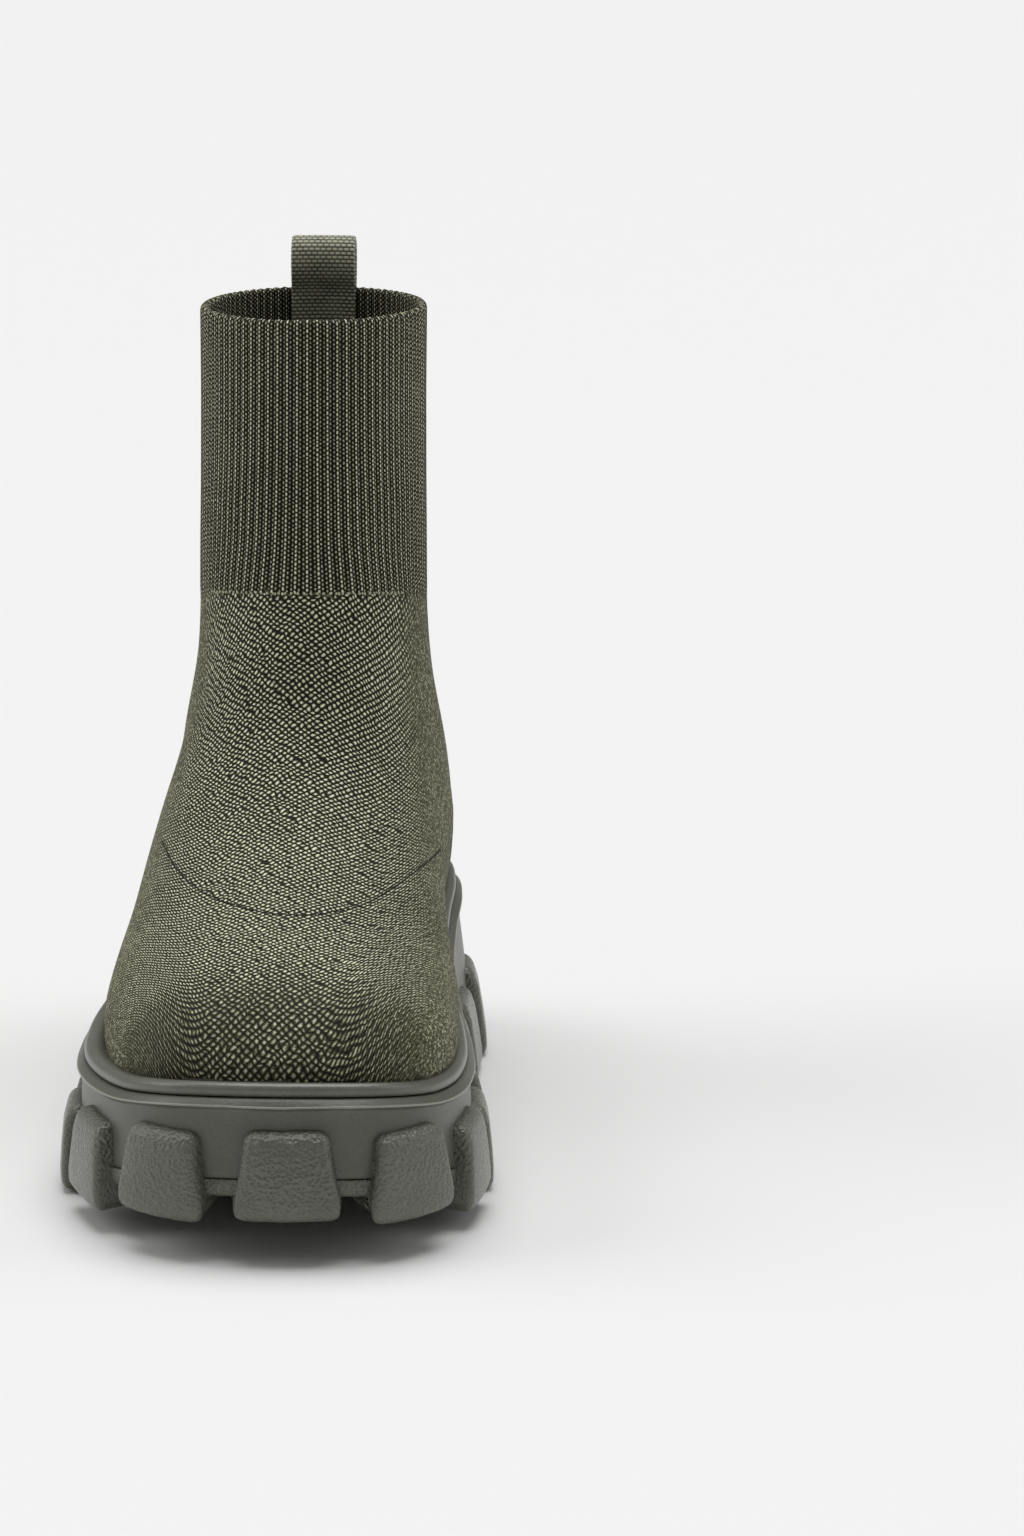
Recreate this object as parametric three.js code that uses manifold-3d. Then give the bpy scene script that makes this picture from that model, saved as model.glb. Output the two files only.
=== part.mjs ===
// A right-foot knitted sock boot on a thick lugged sole, in millimetres.
// +Z is up, the toe points along -Y and the big-toe side is +X.
// The origin is on the floor, under the middle of the heel.

import * as THREE from 'three';
import { mergeVertices } from 'three/addons/utils/BufferGeometryUtils.js';
import Module from 'manifold-3d';

const wasm = await Module();
wasm.setup();

// Sole
const soleLength = 276; // wall of the midsole, heel to toe, without the lugs
const heelBack = 45.5; // from the origin back to the heel's wall
const ballWidth = 108; // midsole wall, across the ball of the foot
const heelSeat = 51.6; // height of the foot bed under the heel
const toeSpring = 12.2; // how far the toe is lifted off the floor
const waistLift = 2; // how far the tread is lifted under the arch
const heelBevel = 2.5; // how far the back edge of the heel is lifted
const treadDepth = 5.8; // lugs below the plate
const plateThickness = 4.6;
const wallFlareHeel = 4.6; // the wall leans out this far from the lip down to the plate
const wallFlareToe = 1;
const flangeLip = 1.4; // the flange stands out past the wall
const flangeDrop = 1.2; // its bevel falls this far to the edge
const flangeHeight = 4.2; // from the bottom of the lip to the seat
const seatInset = 2; // from the wall in to where the seat is level

// Lugs that wrap up the side
const lugProudToe = 5.8; // how far a lug stands out from the wall
const lugProudHeel = 5;
// Places of the lug pairs, from the heel (0) to the toe (1) along the edge. One more sits at each end.
const lugPlaces = [0.108, 0.217, 0.327, 0.438, 0.551, 0.666, 0.782, 0.896];
const lugBottomWidth = 31.5;
const lugHeightToe = 24; // lug, from its foot up the wall
const lugHeightHeel = 29;
const lugReach = 21; // how far a lug runs in under the sole
const padWidth = 26; // blocks along the middle of the tread
const padLength = 27;
const padPitch = 37;

// Upper
const upperInsetToe = 4; // from the midsole's wall in to the knit
const upperInsetHeel = 3.8;
const heelBulge = 2.4; // the knit swells out by this above the rand
const bulgeRise = 12;
const knitWall = 3;
const legHeight = 176; // heel seat to the top of the collar
const legWidth = 67; // cuff, across
const legDepth = 88; // cuff, front to back
const footLength = 265; // outside of the knit, heel to toe
const footWidth = 98; // outside of the knit across the ball
const footSink = 14; // the last runs this far below the seat

// Rand, insole and pull loop
const randWidth = 3.4;
const randHeight = 3.6;
const insoleThickness = 4;
const loopWidth = 19.5;
const loopThickness = 1.6;
const loopRise = 15.5; // top of the loop above the collar
const loopInside = 13; // ends of the strap below the collar
const loopOutside = 20;
const loopGap = 7.2; // finger gap at its widest

const clearance = 0.3; // between pieces that touch

// Outline of the midsole wall just under the lip. along runs from the heel (0) to the toe (1) as a share
// of soleLength; medial and lateral are half widths as shares of ballWidth.
const soleOutline = [
  { along: 0.0, medial: 0.0, lateral: 0.0 },
  { along: 0.004, medial: 0.09, lateral: 0.09 },
  { along: 0.02, medial: 0.198, lateral: 0.198 },
  { along: 0.06, medial: 0.308, lateral: 0.308 },
  { along: 0.12, medial: 0.373, lateral: 0.375 },
  { along: 0.2, medial: 0.397, lateral: 0.4 },
  { along: 0.3, medial: 0.396, lateral: 0.412 },
  { along: 0.42, medial: 0.405, lateral: 0.438 },
  { along: 0.54, medial: 0.44, lateral: 0.477 },
  { along: 0.65, medial: 0.481, lateral: 0.504 },
  { along: 0.76, medial: 0.501, lateral: 0.487 },
  { along: 0.86, medial: 0.481, lateral: 0.41 },
  { along: 0.93, medial: 0.424, lateral: 0.318 },
  { along: 0.973, medial: 0.332, lateral: 0.212 },
  { along: 0.994, medial: 0.215, lateral: 0.085 },
  { along: 1.0, medial: 0.09, lateral: -0.035 },
];

// Height of the seat above the floor, as shares of heelSeat.
const seatLine = [
  { along: 0.0, height: 1.02 },
  { along: 0.18, height: 1.0 },
  { along: 0.36, height: 0.9 },
  { along: 0.52, height: 0.785 },
  { along: 0.66, height: 0.725 },
  { along: 0.78, height: 0.725 },
  { along: 0.9, height: 0.773 },
  { along: 1.0, height: 0.872 },
];

// Sections of the last, from the toe to the collar. Each is a closed loop across the foot,
// from a point on the front line to a point on the back line, which is the sole of the foot
// until the sections turn up the leg. along is a share of footLength from the heel; rise is
// the height above the seat as a share of legHeight; sink is a share of footSink below it.
// Half widths are shares of footWidth, and shift moves the section towards the big toe.
// belly is where the widest place lies between back and front; crown and base are the
// powers of the curve above and below it, where 2 is an ellipse and more is boxier.
const footSections = [
  {
    frontAlong: 0.985, frontRise: 0.072, backAlong: 0.985, sink: 1,
    medial: 0.28, lateral: 0.24, shift: 0.1, belly: 0.56, crown: 2.3, base: 2.6,
  },
  {
    frontAlong: 0.95, frontRise: 0.135, backAlong: 0.95, sink: 1,
    medial: 0.4, lateral: 0.37, shift: 0.08, belly: 0.48, crown: 2.35, base: 3,
  },
  {
    frontAlong: 0.88, frontRise: 0.18, backAlong: 0.88, sink: 1,
    medial: 0.475, lateral: 0.458, shift: 0.055, belly: 0.45, crown: 2.4, base: 3,
  },
  {
    frontAlong: 0.76, frontRise: 0.22, backAlong: 0.77, sink: 1,
    medial: 0.505, lateral: 0.5, shift: 0.02, belly: 0.42, crown: 2.3, base: 3,
  },
  {
    frontAlong: 0.64, frontRise: 0.258, backAlong: 0.64, sink: 1,
    medial: 0.5, lateral: 0.503, shift: 0.005, belly: 0.38, crown: 2.15, base: 3,
  },
  {
    frontAlong: 0.53, frontRise: 0.305, backAlong: 0.5, sink: 1,
    medial: 0.468, lateral: 0.49, shift: 0.0, belly: 0.36, crown: 2.0, base: 3,
  },
  {
    frontAlong: 0.455, frontRise: 0.36, backAlong: 0.34, sink: 1,
    medial: 0.44, lateral: 0.475, shift: 0.0, belly: 0.38, crown: 1.95, base: 3.2,
  },
  {
    frontAlong: 0.415, frontRise: 0.415, backAlong: 0.17, sink: 1,
    medial: 0.43, lateral: 0.456, shift: 0.0, belly: 0.4, crown: 1.95, base: 3.3,
  },
];
// The heel turn and the leg: rise of both ends is a share of legHeight above the heel seat.
const legSections = [
  {
    frontAlong: 0.393, frontRise: 0.465, backAlong: 0.045, backRise: -0.05,
    medial: 0.425, lateral: 0.43, belly: 0.36, crown: 1.95, base: 3.2,
  },
  {
    frontAlong: 0.3815, frontRise: 0.505, backAlong: 0.004, backRise: 0.09,
    medial: 0.395, lateral: 0.398, belly: 0.4, crown: 1.95, base: 2.9,
  },
  {
    frontAlong: 0.3747, frontRise: 0.537, backAlong: 0.0, backRise: 0.24,
    medial: 0.36, lateral: 0.36, belly: 0.46, crown: 2, base: 2.4,
  },
  {
    frontAlong: 0.368, frontRise: 0.57, backAlong: 0.012, backRise: 0.42,
    medial: 0.347, lateral: 0.345, belly: 0.5, crown: 2, base: 2.05,
  },
];
// The ribbed cuff: half widths are shares of legWidth, depths of legDepth, about the leg's axis.
const cuffSections = [
  { rise: 0.6, front: 0.617, back: 0.466, half: 0.503 },
  { rise: 0.72, front: 0.568, back: 0.47, half: 0.5 },
  { rise: 0.86, front: 0.531, back: 0.484, half: 0.499 },
  { rise: 1.0, front: 0.5, back: 0.5, half: 0.502 },
];

// A curve through the rows of a table, read by one of its columns.
function tableCurve(rows, by, column) {
  return (value) => {
    let i = 0;
    while (i < rows.length - 2 && value > rows[i + 1][by]) i += 1;
    const slope = (a, b) => (rows[b][column] - rows[a][column]) / (rows[b][by] - rows[a][by]);
    const before = i > 0 ? slope(i - 1, i + 1) : slope(0, 1);
    const after = i < rows.length - 2 ? slope(i, i + 2) : slope(i, i + 1);
    const span = rows[i + 1][by] - rows[i][by];
    const t = THREE.MathUtils.clamp((value - rows[i][by]) / span, 0, 1);
    const near = (2 * t ** 3 - 3 * t ** 2 + 1) * rows[i][column] + (t ** 3 - 2 * t ** 2 + t) * before * span;
    const far = (3 * t ** 2 - 2 * t ** 3) * rows[i + 1][column] + (t ** 3 - t ** 2) * after * span;
    return near + far;
  };
}

const soleY = (along) => heelBack - along * soleLength;
const soleAlong = (y) => (heelBack - y) / soleLength;
const seatShare = tableCurve(seatLine, 'along', 'height');
const seatAt = (y) => heelSeat * seatShare(THREE.MathUtils.clamp(soleAlong(y), 0, 1));

// Underside of the tread: flat from heel to ball, lifted at the toe, the waist and the heel's back.
const toeBreak = 0.7;
const waistFrom = 0.3;
const waistTo = 0.55;
const bevelFrom = 0.09;
function treadAt(y) {
  const along = THREE.MathUtils.clamp(soleAlong(y), 0, 1);
  const toe = Math.max(0, (along - toeBreak) / (1 - toeBreak));
  const waist = THREE.MathUtils.clamp((along - waistFrom) / (waistTo - waistFrom), 0, 1);
  const heel = Math.max(0, (bevelFrom - along) / bevelFrom);
  return toeSpring * toe ** 1.2 + waistLift * Math.sin(Math.PI * waist) ** 2 + heelBevel * heel ** 2;
}
// What differs at toe and heel changes over between these shares of the sole.
const changeFrom = 0.1;
const changeTo = 0.6;
const toeHeel = (toe, heel) => (y) => {
  const share = THREE.MathUtils.smoothstep(soleAlong(y), changeFrom, changeTo);
  return THREE.MathUtils.lerp(heel, toe, share);
};
const flareAt = toeHeel(wallFlareToe, wallFlareHeel);
const insetAt = toeHeel(upperInsetToe, upperInsetHeel);
const plateBottomAt = (y) => treadAt(y) + treadDepth;
const plateTopAt = (y) => plateBottomAt(y) + plateThickness;

const medialAt = tableCurve(soleOutline, 'along', 'medial');
const lateralAt = tableCurve(soleOutline, 'along', 'lateral');

// The wall's outline as two smooth lines from the heel's back to the toe, by arc length.
const tablePoint = (side) => ({ along, medial, lateral }) => {
  const half = ballWidth * (side > 0 ? medial : lateral);
  return new THREE.Vector3(side * half, soleY(along), 0);
};
const curveThrough = (side) => new THREE.CatmullRomCurve3(
  soleOutline.map(tablePoint(side)),
  false, 'centripetal',
);
const toeRounding = 0.3; // the toe's middle runs this far beyond its last row
const toeMiddle = new THREE.Vector3(ballWidth * soleOutline.at(-1).medial, soleY(1) - toeRounding, 0);
const medialLine = curveThrough(1);
medialLine.points.push(toeMiddle);
const lateralLine = curveThrough(-1);
lateralLine.points.push(toeMiddle);
medialLine.arcLengthDivisions = 600;
lateralLine.arcLengthDivisions = 600;

// A place on the outline: side +1 or -1, share of the way from heel to toe, moved outwards.
function outlinePoint(side, share, outwards) {
  const line = side > 0 ? medialLine : lateralLine;
  const point = line.getPointAt(share);
  const tangent = line.getTangentAt(share);
  if (share < 0.001) tangent.set(side, 0, 0);
  if (share > 0.999) tangent.set(-side, 0, 0);
  return new THREE.Vector3(point.x - tangent.y * side * outwards, point.y + tangent.x * side * outwards, 0);
}

// Rings of the sole are sampled at the same shares on both sides, closer at toe and heel.
const ringSteps = 30;
const ringShares = Array.from({ length: ringSteps + 1 }, (_, i) => {
  const even = i / ringSteps;
  const crowded = (1 - Math.cos((Math.PI * i) / ringSteps)) / 2;
  return (crowded + even) / 2;
});

// One closed ring round the sole: heel, medial side, toe, lateral side.
// A flare of 1 puts it on the wall's foot, and 0 on the wall's top.
function soleRing(outwards, heightAt, flare = 0) {
  const place = (side, share) => {
    const y = outlinePoint(side, share, 0).y;
    const base = typeof outwards === 'function' ? outwards(y) : outwards;
    const point = outlinePoint(side, share, base + flare * flareAt(y));
    return point.setZ(heightAt(point.y));
  };
  const ring = [];
  for (let i = 0; i <= ringSteps; i += 1) ring.push(place(1, ringShares[i]));
  for (let i = ringSteps - 1; i > 0; i -= 1) ring.push(place(-1, ringShares[i]));
  return ring;
}

// A closed body through rings of equal length. The ends are closed by strips across the ring,
// or the last ring joins the first where the body is itself a ring.
function loft(rings, joined = false) {
  const count = rings[0].length;
  const positions = rings.flatMap((ring) => ring.flatMap((p) => [p.x, p.y, p.z]));
  const faces = [];
  const levels = joined ? rings.length : rings.length - 1;
  for (let j = 0; j < levels; j += 1) {
    for (let i = 0; i < count; i += 1) {
      const a = j * count + i;
      const b = j * count + ((i + 1) % count);
      const c = ((j + 1) % rings.length) * count + ((i + 1) % count);
      const d = ((j + 1) % rings.length) * count + i;
      faces.push(a, b, c, a, c, d);
    }
  }
  const top = (rings.length - 1) * count;
  for (let i = 0; i < count / 2 && !joined; i += 1) {
    const [a, b, c, d] = [i, i + 1, count - i - 1, (count - i) % count];
    faces.push(a, c, b, a, d, c);
    faces.push(top + a, top + b, top + c, top + a, top + c, top + d);
  }
  const kept = [];
  for (let i = 0; i < faces.length; i += 3) {
    const [a, b, c] = faces.slice(i, i + 3);
    if (a !== b && b !== c && a !== c) kept.push(a, b, c);
  }
  return solidFrom(positions, kept);
}

// A closed surface as a solid that can be cut and joined, turned so that it faces out.
function solidFrom(positions, faces) {
  const geometry = new THREE.BufferGeometry();
  geometry.setAttribute('position', new THREE.Float32BufferAttribute(positions, 3));
  geometry.setIndex(faces);
  const merged = mergeVertices(geometry, 1e-4);
  const corners = new Uint32Array(merged.index.array);
  const make = () => new wasm.Manifold(new wasm.Mesh({
    numProp: 3,
    vertProperties: merged.attributes.position.array,
    triVerts: corners,
  }));
  const solid = make();
  if (solid.volume() > 0) return solid;
  for (let i = 0; i < corners.length; i += 3) {
    [corners[i + 1], corners[i + 2]] = [corners[i + 2], corners[i + 1]];
  }
  return make();
}

// A table row of the last as a loop of points, grown outwards by some millimetres.
const outerSteps = { around: 30, between: 3 };
const innerSteps = { around: 22, between: 2 };
const footY = (along) => heelBack - upperInsetHeel - along * footLength;

function lastRows() {
  const foot = footSections.map((row) => {
    const frontY = footY(row.frontAlong);
    const backY = footY(row.backAlong);
    return {
      ...row,
      front: [frontY, seatAt(frontY) + row.frontRise * legHeight],
      back: [backY, seatAt(backY) - row.sink * footSink],
      medial: row.medial * footWidth,
      lateral: row.lateral * footWidth,
      shift: row.shift * footWidth,
    };
  });
  const leg = legSections.map((row) => ({
    ...row,
    front: [footY(row.frontAlong), heelSeat + row.frontRise * legHeight],
    back: [footY(row.backAlong), heelSeat + row.backRise * legHeight],
    medial: row.medial * footWidth,
    lateral: row.lateral * footWidth,
    shift: 0,
  }));
  const cuff = cuffSections.map((row) => ({
    front: [-row.front * legDepth, heelSeat + row.rise * legHeight],
    back: [row.back * legDepth, heelSeat + row.rise * legHeight],
    medial: row.half * legWidth,
    lateral: row.half * legWidth,
    shift: 0,
    belly: 0.5,
    crown: 2.05,
    base: 2.05,
  }));
  return [...foot, ...leg, ...cuff];
}

function sectionLoop(row, grow, around) {
  const front = new THREE.Vector2(...row.front);
  const back = new THREE.Vector2(...row.back);
  const axis = front.clone().sub(back);
  const unit = axis.clone().normalize();
  front.addScaledVector(unit, grow);
  back.addScaledVector(unit, -grow);
  const loop = [];
  for (let i = 0; i < around; i += 1) {
    const angle = (2 * Math.PI * i) / around;
    const c = Math.cos(angle);
    const s = Math.sin(angle);
    const power = 2 / (c > 0 ? row.crown : row.base);
    const lengthwise = Math.sign(c) * Math.abs(c) ** power;
    const sideways = Math.abs(s) ** power * Math.sign(s);
    const share = row.belly + (c > 0 ? 1 - row.belly : row.belly) * lengthwise;
    const half = (s > 0 ? row.medial : row.lateral) + grow;
    const point = back.clone().lerp(front, share);
    loop.push(new THREE.Vector3(row.shift + half * sideways, point.x, point.y));
  }
  return loop;
}

// The last as rings from the toe to above the collar, with smooth rows between the table's.
function lastSolid(grow, top = 0) {
  const { around, between } = grow < 0 ? innerSteps : outerSteps;
  const rows = lastRows();
  const columns = ['medial', 'lateral', 'shift', 'belly', 'crown', 'base'];
  const tracks = rows.map((row) => columns.map((name) => row[name]));
  const at = (values, i) => values[THREE.MathUtils.clamp(i, 0, values.length - 1)];
  const blend = (values, k) => {
    const i = Math.min(Math.floor(k), values.length - 2);
    const t = k - i;
    const [a, b, c, d] = [at(values, i - 1), at(values, i), at(values, i + 1), at(values, i + 2)];
    return b + 0.5 * t * (c - a + t * (2 * a - 5 * b + 4 * c - d + t * (3 * (b - c) + d - a)));
  };
  const rings = [];
  const tip = rows[0];
  const tipY = footY(1) - grow;
  // The toe cap closes in to a small flat loop at the tip.
  for (const [forward, size] of [[1, 0.22], [0.86, 0.52], [0.62, 0.76], [0.32, 0.91]]) {
    const y = tip.front[0] + (tipY - tip.front[0]) * forward;
    const middle = tip.back[1] + (tip.front[1] - tip.back[1]) * tip.belly;
    rings.push(sectionLoop({
      ...tip,
      front: [y, middle + (tip.front[1] - middle) * size],
      back: [y, middle + (tip.back[1] - middle) * size],
      medial: tip.medial * size,
      lateral: tip.lateral * size,
    }, grow * size, around));
  }
  // The cuff is straight, so its rows are enough by themselves.
  const last = rows.length - 1;
  const straight = rows.length - cuffSections.length;
  for (let share = 0; share < last + 0.01; share += share < straight - 0.01 ? 1 / between : 1) {
    const values = columns.map((_, n) => blend(tracks.map((track) => track[n]), share));
    const row = Object.fromEntries(columns.map((name, n) => [name, values[n]]));
    for (const end of ['front', 'back']) {
      row[end] = [0, 1].map((n) => blend(rows.map((r) => r[end][n]), share));
    }
    rings.push(sectionLoop(row, grow, around));
  }
  if (top) {
    const lid = rings[rings.length - 1].map((p) => new THREE.Vector3(p.x, p.y, p.z + top));
    rings.push(lid);
  }
  return loft(rings).intersect(tuck(grow));
}

// Where the knit may reach: drawn in at the seat, swelling out softly above the rand. swell is
// a share of heelBulge and rise a share of bulgeRise.
const tuckLine = [
  { swell: 0, rise: -2 },
  { swell: 0, rise: 0.15 },
  { swell: 0.45, rise: 0.42 },
  { swell: 0.8, rise: 0.8 },
  { swell: 1, rise: 1.25 },
  { swell: 1.15, rise: 2 },
  { swell: 6, rise: 3.2 },
];
function tuck(grow) {
  const rings = tuckLine.map(({ swell, rise }) => soleRing(
    (y) => grow + swell * heelBulge - insetAt(y),
    (y) => seatAt(y) + rise * bulgeRise,
  ));
  rings.push(soleRing(blockMargin, () => 2 * legHeight));
  return loft(rings);
}

// Everything below the seat, or a little above it, as a block to cut with.
const blockMargin = 30;
function belowSeat(raise) {
  const top = (y) => seatAt(y) + raise;
  return loft([
    soleRing(blockMargin, () => -blockMargin),
    soleRing(blockMargin, top),
    soleRing(-seatInset, top),
  ]);
}

function makeUpper() {
  const inside = lastSolid(-knitWall, blockMargin);
  return lastSolid(0).subtract(inside).subtract(belowSeat(clearance));
}

function makeInsole() {
  const top = (y) => seatAt(y) + clearance + insoleThickness;
  const slab = loft([soleRing(0, () => 0), soleRing(0, top)]);
  return slab.subtract(belowSeat(clearance)).intersect(lastSolid(-knitWall - clearance));
}

// Midsole: a wall, a lip with a bevelled top edge, and a seat that the knit stands on.
function makeMidsole() {
  const bottom = (y) => plateTopAt(y) + clearance;
  const below = (drop) => (y) => seatAt(y) - drop;
  return loft([
    soleRing(0, bottom, 1),
    soleRing(0, below(flangeHeight)),
    soleRing(flangeLip, below(flangeHeight - 0.5)),
    soleRing(flangeLip + 0.2, below(flangeDrop + 0.5)),
    soleRing(flangeLip - 0.3, below(flangeDrop)),
    soleRing(-1.2, below(0.2)),
    soleRing(-seatInset, below(0)),
  ]);
}

// Rand: a soft round bead that hides where the knit meets the midsole.
function makeRand() {
  const section = [
    { out: -0.9, rise: 0 },
    { out: -0.1, rise: 0.22 },
    { out: 0, rise: 0.5 },
    { out: -0.6, rise: 0.8 },
    { out: -1.8, rise: 1 },
    { out: -randWidth - 4, rise: 1 },
    { out: -randWidth - 4, rise: 0 },
  ];
  const ring = loft(section.map(({ out, rise }) => soleRing(
    (y) => out + randWidth - insetAt(y),
    (y) => seatAt(y) + clearance + rise * randHeight,
  )), true);
  return ring.subtract(lastSolid(clearance));
}

// A side lug, built in columns that follow the outline: foot, outer face, top and back.
function makeSideLug(side, middle) {
  const line = side > 0 ? medialLine : lateralLine;
  const columns = [-1, -0.86, -0.35, 0.35, 0.86, 1];
  const length = line.getLength();
  const place = (share, outwards) => {
    if (share > 1) return outlinePoint(-side, 2 - share, outwards);
    if (share < 0) return outlinePoint(-side, -share, outwards);
    return outlinePoint(side, share, outwards);
  };
  const centre = place(middle, 0);
  const foot = treadAt(centre.y);
  const heelward = THREE.MathUtils.clamp(1 - soleAlong(centre.y) / 0.45, 0, 1);
  const height = THREE.MathUtils.lerp(lugHeightToe, lugHeightHeel, heelward);
  const lugProud = toeHeel(lugProudToe, lugProudHeel)(centre.y);
  const flare = flareAt(centre.y);
  const profile = [
    { outwards: -lugReach, rise: 0, wide: 0.42 },
    { outwards: lugProud - 1.8, rise: 0, wide: 0.95 },
    { outwards: lugProud, rise: 0.08, wide: 1 },
    { outwards: lugProud - 0.3, rise: 0.42, wide: 0.88 },
    { outwards: lugProud - 1.5, rise: 0.86, wide: 0.79 },
    { outwards: lugProud - 3.4, rise: 1, wide: 0.75 },
    { outwards: -4, rise: 1, wide: 0.75 },
  ];
  const backRise = (treadDepth + 1) / height;
  profile.push({ outwards: -4, rise: backRise + 0.02, wide: 0.93 });
  profile.push({ outwards: -lugReach, rise: backRise, wide: 0.42 });
  // The outer face spreads where the outline is tightly curved, so the columns draw in there.
  const spread = place(middle + lugBottomWidth / 2 / length, lugProud + flare)
    .distanceTo(place(middle - lugBottomWidth / 2 / length, lugProud + flare)) / lugBottomWidth;
  const rings = columns.map((column) => profile.map(({ outwards, rise, wide }) => {
    const half = (lugBottomWidth / 2 / spread) * wide;
    const corner = Math.abs(column) === 1 && outwards > 2 ? 1.5 : 0;
    const point = place(middle + (column * half) / length, outwards - corner + flare * (1 - 0.6 * rise));
    point.z = foot + rise * height;
    return point;
  }));
  const flat = profile.map(({ outwards, rise }) => new THREE.Vector2(outwards, rise * height));
  return loftWithCaps(rings, flat);
}

// A body through equal profiles in a row, with the two end profiles filled.
function loftWithCaps(rings, flat) {
  const count = flat.length;
  const positions = rings.flatMap((ring) => ring.flatMap((p) => [p.x, p.y, p.z]));
  const faces = [];
  for (let j = 0; j < rings.length - 1; j += 1) {
    for (let i = 0; i < count; i += 1) {
      const n = (i + 1) % count;
      faces.push(j * count + i, j * count + n, (j + 1) * count + n);
      faces.push(j * count + i, (j + 1) * count + n, (j + 1) * count + i);
    }
  }
  const end = (rings.length - 1) * count;
  const turn = THREE.ShapeUtils.area(flat) > 0;
  for (const [a, b, c] of THREE.ShapeUtils.triangulateShape(flat, [])) {
    if (turn) faces.push(a, c, b, end + a, end + b, end + c);
    else faces.push(a, b, c, end + a, end + c, end + b);
  }
  return solidFrom(positions, faces);
}

// Outsole: a plate, the side lugs round it, and blocks down the middle.
function makeOutsole() {
  const edge = 0.7;
  const plate = loft([
    soleRing(edge - 1, plateBottomAt, 1),
    soleRing(edge, (y) => plateBottomAt(y) + 1, 1),
    soleRing(edge, plateTopAt, 1),
  ]);
  const lugs = [makeSideLug(1, 1), makeSideLug(1, 0)];
  for (const place of lugPlaces) lugs.push(makeSideLug(1, place), makeSideLug(-1, place));
  // Blocks down the middle, the first of them level under the heel at the origin.
  const pads = [];
  const padSpace = soleLength - heelBack - lugReach - padLength / 2;
  const middleOf = (along) => (ballWidth * (medialAt(along) - lateralAt(along))) / 2;
  for (let i = 0; i * padPitch < padSpace; i += 1) {
    const box = new THREE.BoxGeometry(padWidth, padLength, 2, 1, 4, 1).translate(0, -i * padPitch, 0);
    const corners = box.attributes.position;
    for (let n = 0; n < corners.count; n += 1) {
      const y = corners.getY(n);
      const z = corners.getZ(n) < 0 ? treadAt(y) : plateBottomAt(y) + 1;
      corners.setXYZ(n, corners.getX(n) + middleOf(soleAlong(-i * padPitch)), y, z);
    }
    pads.push(solidFrom(Array.from(corners.array), Array.from(box.index.array)));
  }
  // The midsole's wall, with a little clearance, is cut out of the backs of the lugs.
  const core = loft([
    soleRing(clearance, plateTopAt, 1),
    soleRing(clearance, (y) => seatAt(y) - flangeHeight),
    soleRing(clearance, seatAt),
  ]);
  return [...lugs, ...pads].reduce((whole, piece) => whole.add(piece), plate).subtract(core);
}

// Back of the cuff's outside, at a height and a distance from the middle.
const cuffColumn = (name) => tableCurve(cuffSections, 'rise', name);
function cuffBack(x, z) {
  const rise = Math.min((z - heelSeat) / legHeight, 1);
  const front = -cuffColumn('front')(rise) * legDepth;
  const back = cuffColumn('back')(rise) * legDepth;
  const half = cuffColumn('half')(rise) * legWidth;
  return (front + back) / 2 + ((back - front) / 2) * Math.sqrt(1 - (x / half) ** 2);
}

// Pull loop: a strap from inside the collar, over in a drop-shaped loop, and down the outside.
// Each place on its way is an offset from the cuff's outside and a height from the collar.
function makePullLoop() {
  const collar = heelSeat + legHeight;
  const inner = -(knitWall + clearance + loopThickness / 2);
  const outer = clearance + loopThickness / 2;
  const centre = (inner + outer) / 2;
  const half = (loopGap + loopThickness) / 2;
  const crest = loopRise - loopThickness / 2;
  const path = [
    [inner, -loopInside], [inner, -loopInside / 2], [inner, 0],
    [centre - half * 0.92, crest * 0.28], [centre - half, crest * 0.55], [centre - half * 0.7, crest * 0.86],
    [centre, crest],
    [centre + half * 0.7, crest * 0.86], [centre + half, crest * 0.55], [centre + half * 0.92, crest * 0.28],
    [outer, 0], [outer, -loopOutside / 2], [outer, -loopOutside],
  ].map(([offset, height]) => new THREE.Vector3(0, offset, height));
  const curve = new THREE.CatmullRomCurve3(path, false, 'centripetal');
  const steps = 24;
  const across = [-1, -0.85, 0, 0.85, 1];
  const rings = [];
  for (let i = 0; i <= steps; i += 1) {
    const point = curve.getPointAt(i / steps);
    const tangent = curve.getTangentAt(i / steps);
    const hug = 1 - 0.6 * THREE.MathUtils.clamp(point.z / loopRise, 0, 1);
    const place = (share, face) => {
      const x = (share * loopWidth) / 2;
      const z = collar + point.z;
      const sag = (cuffBack(0, z) - cuffBack(x, z)) * hug;
      const drop = Math.abs(share) === 1 ? 0.7 : 1;
      const out = (face * drop * loopThickness) / 2;
      return new THREE.Vector3(x, cuffBack(0, z) - sag + point.y - tangent.z * out, z + tangent.y * out);
    };
    rings.push([...across.map((s) => place(s, 1)), ...[...across].reverse().map((s) => place(s, -1))]);
  }
  const flat = [1, -1].flatMap((face) => across.map((s) => new THREE.Vector2(s * face, face)));
  const wall = lastSolid(clearance).subtract(lastSolid(-knitWall - clearance, blockMargin));
  return loftWithCaps(rings, flat).subtract(wall);
}

// A solid as a named mesh with its material.
const boot = new THREE.Group();
function addPiece(name, solid, color, roughness) {
  const mesh = solid.getMesh();
  const geometry = new THREE.BufferGeometry();
  geometry.setAttribute('position', new THREE.BufferAttribute(new Float32Array(mesh.vertProperties), 3));
  geometry.setIndex(new THREE.BufferAttribute(new Uint32Array(mesh.triVerts), 1));
  geometry.computeVertexNormals();
  const piece = new THREE.Mesh(geometry, new THREE.MeshStandardMaterial({ color, roughness, metalness: 0 }));
  piece.name = name;
  boot.add(piece);
}

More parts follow.
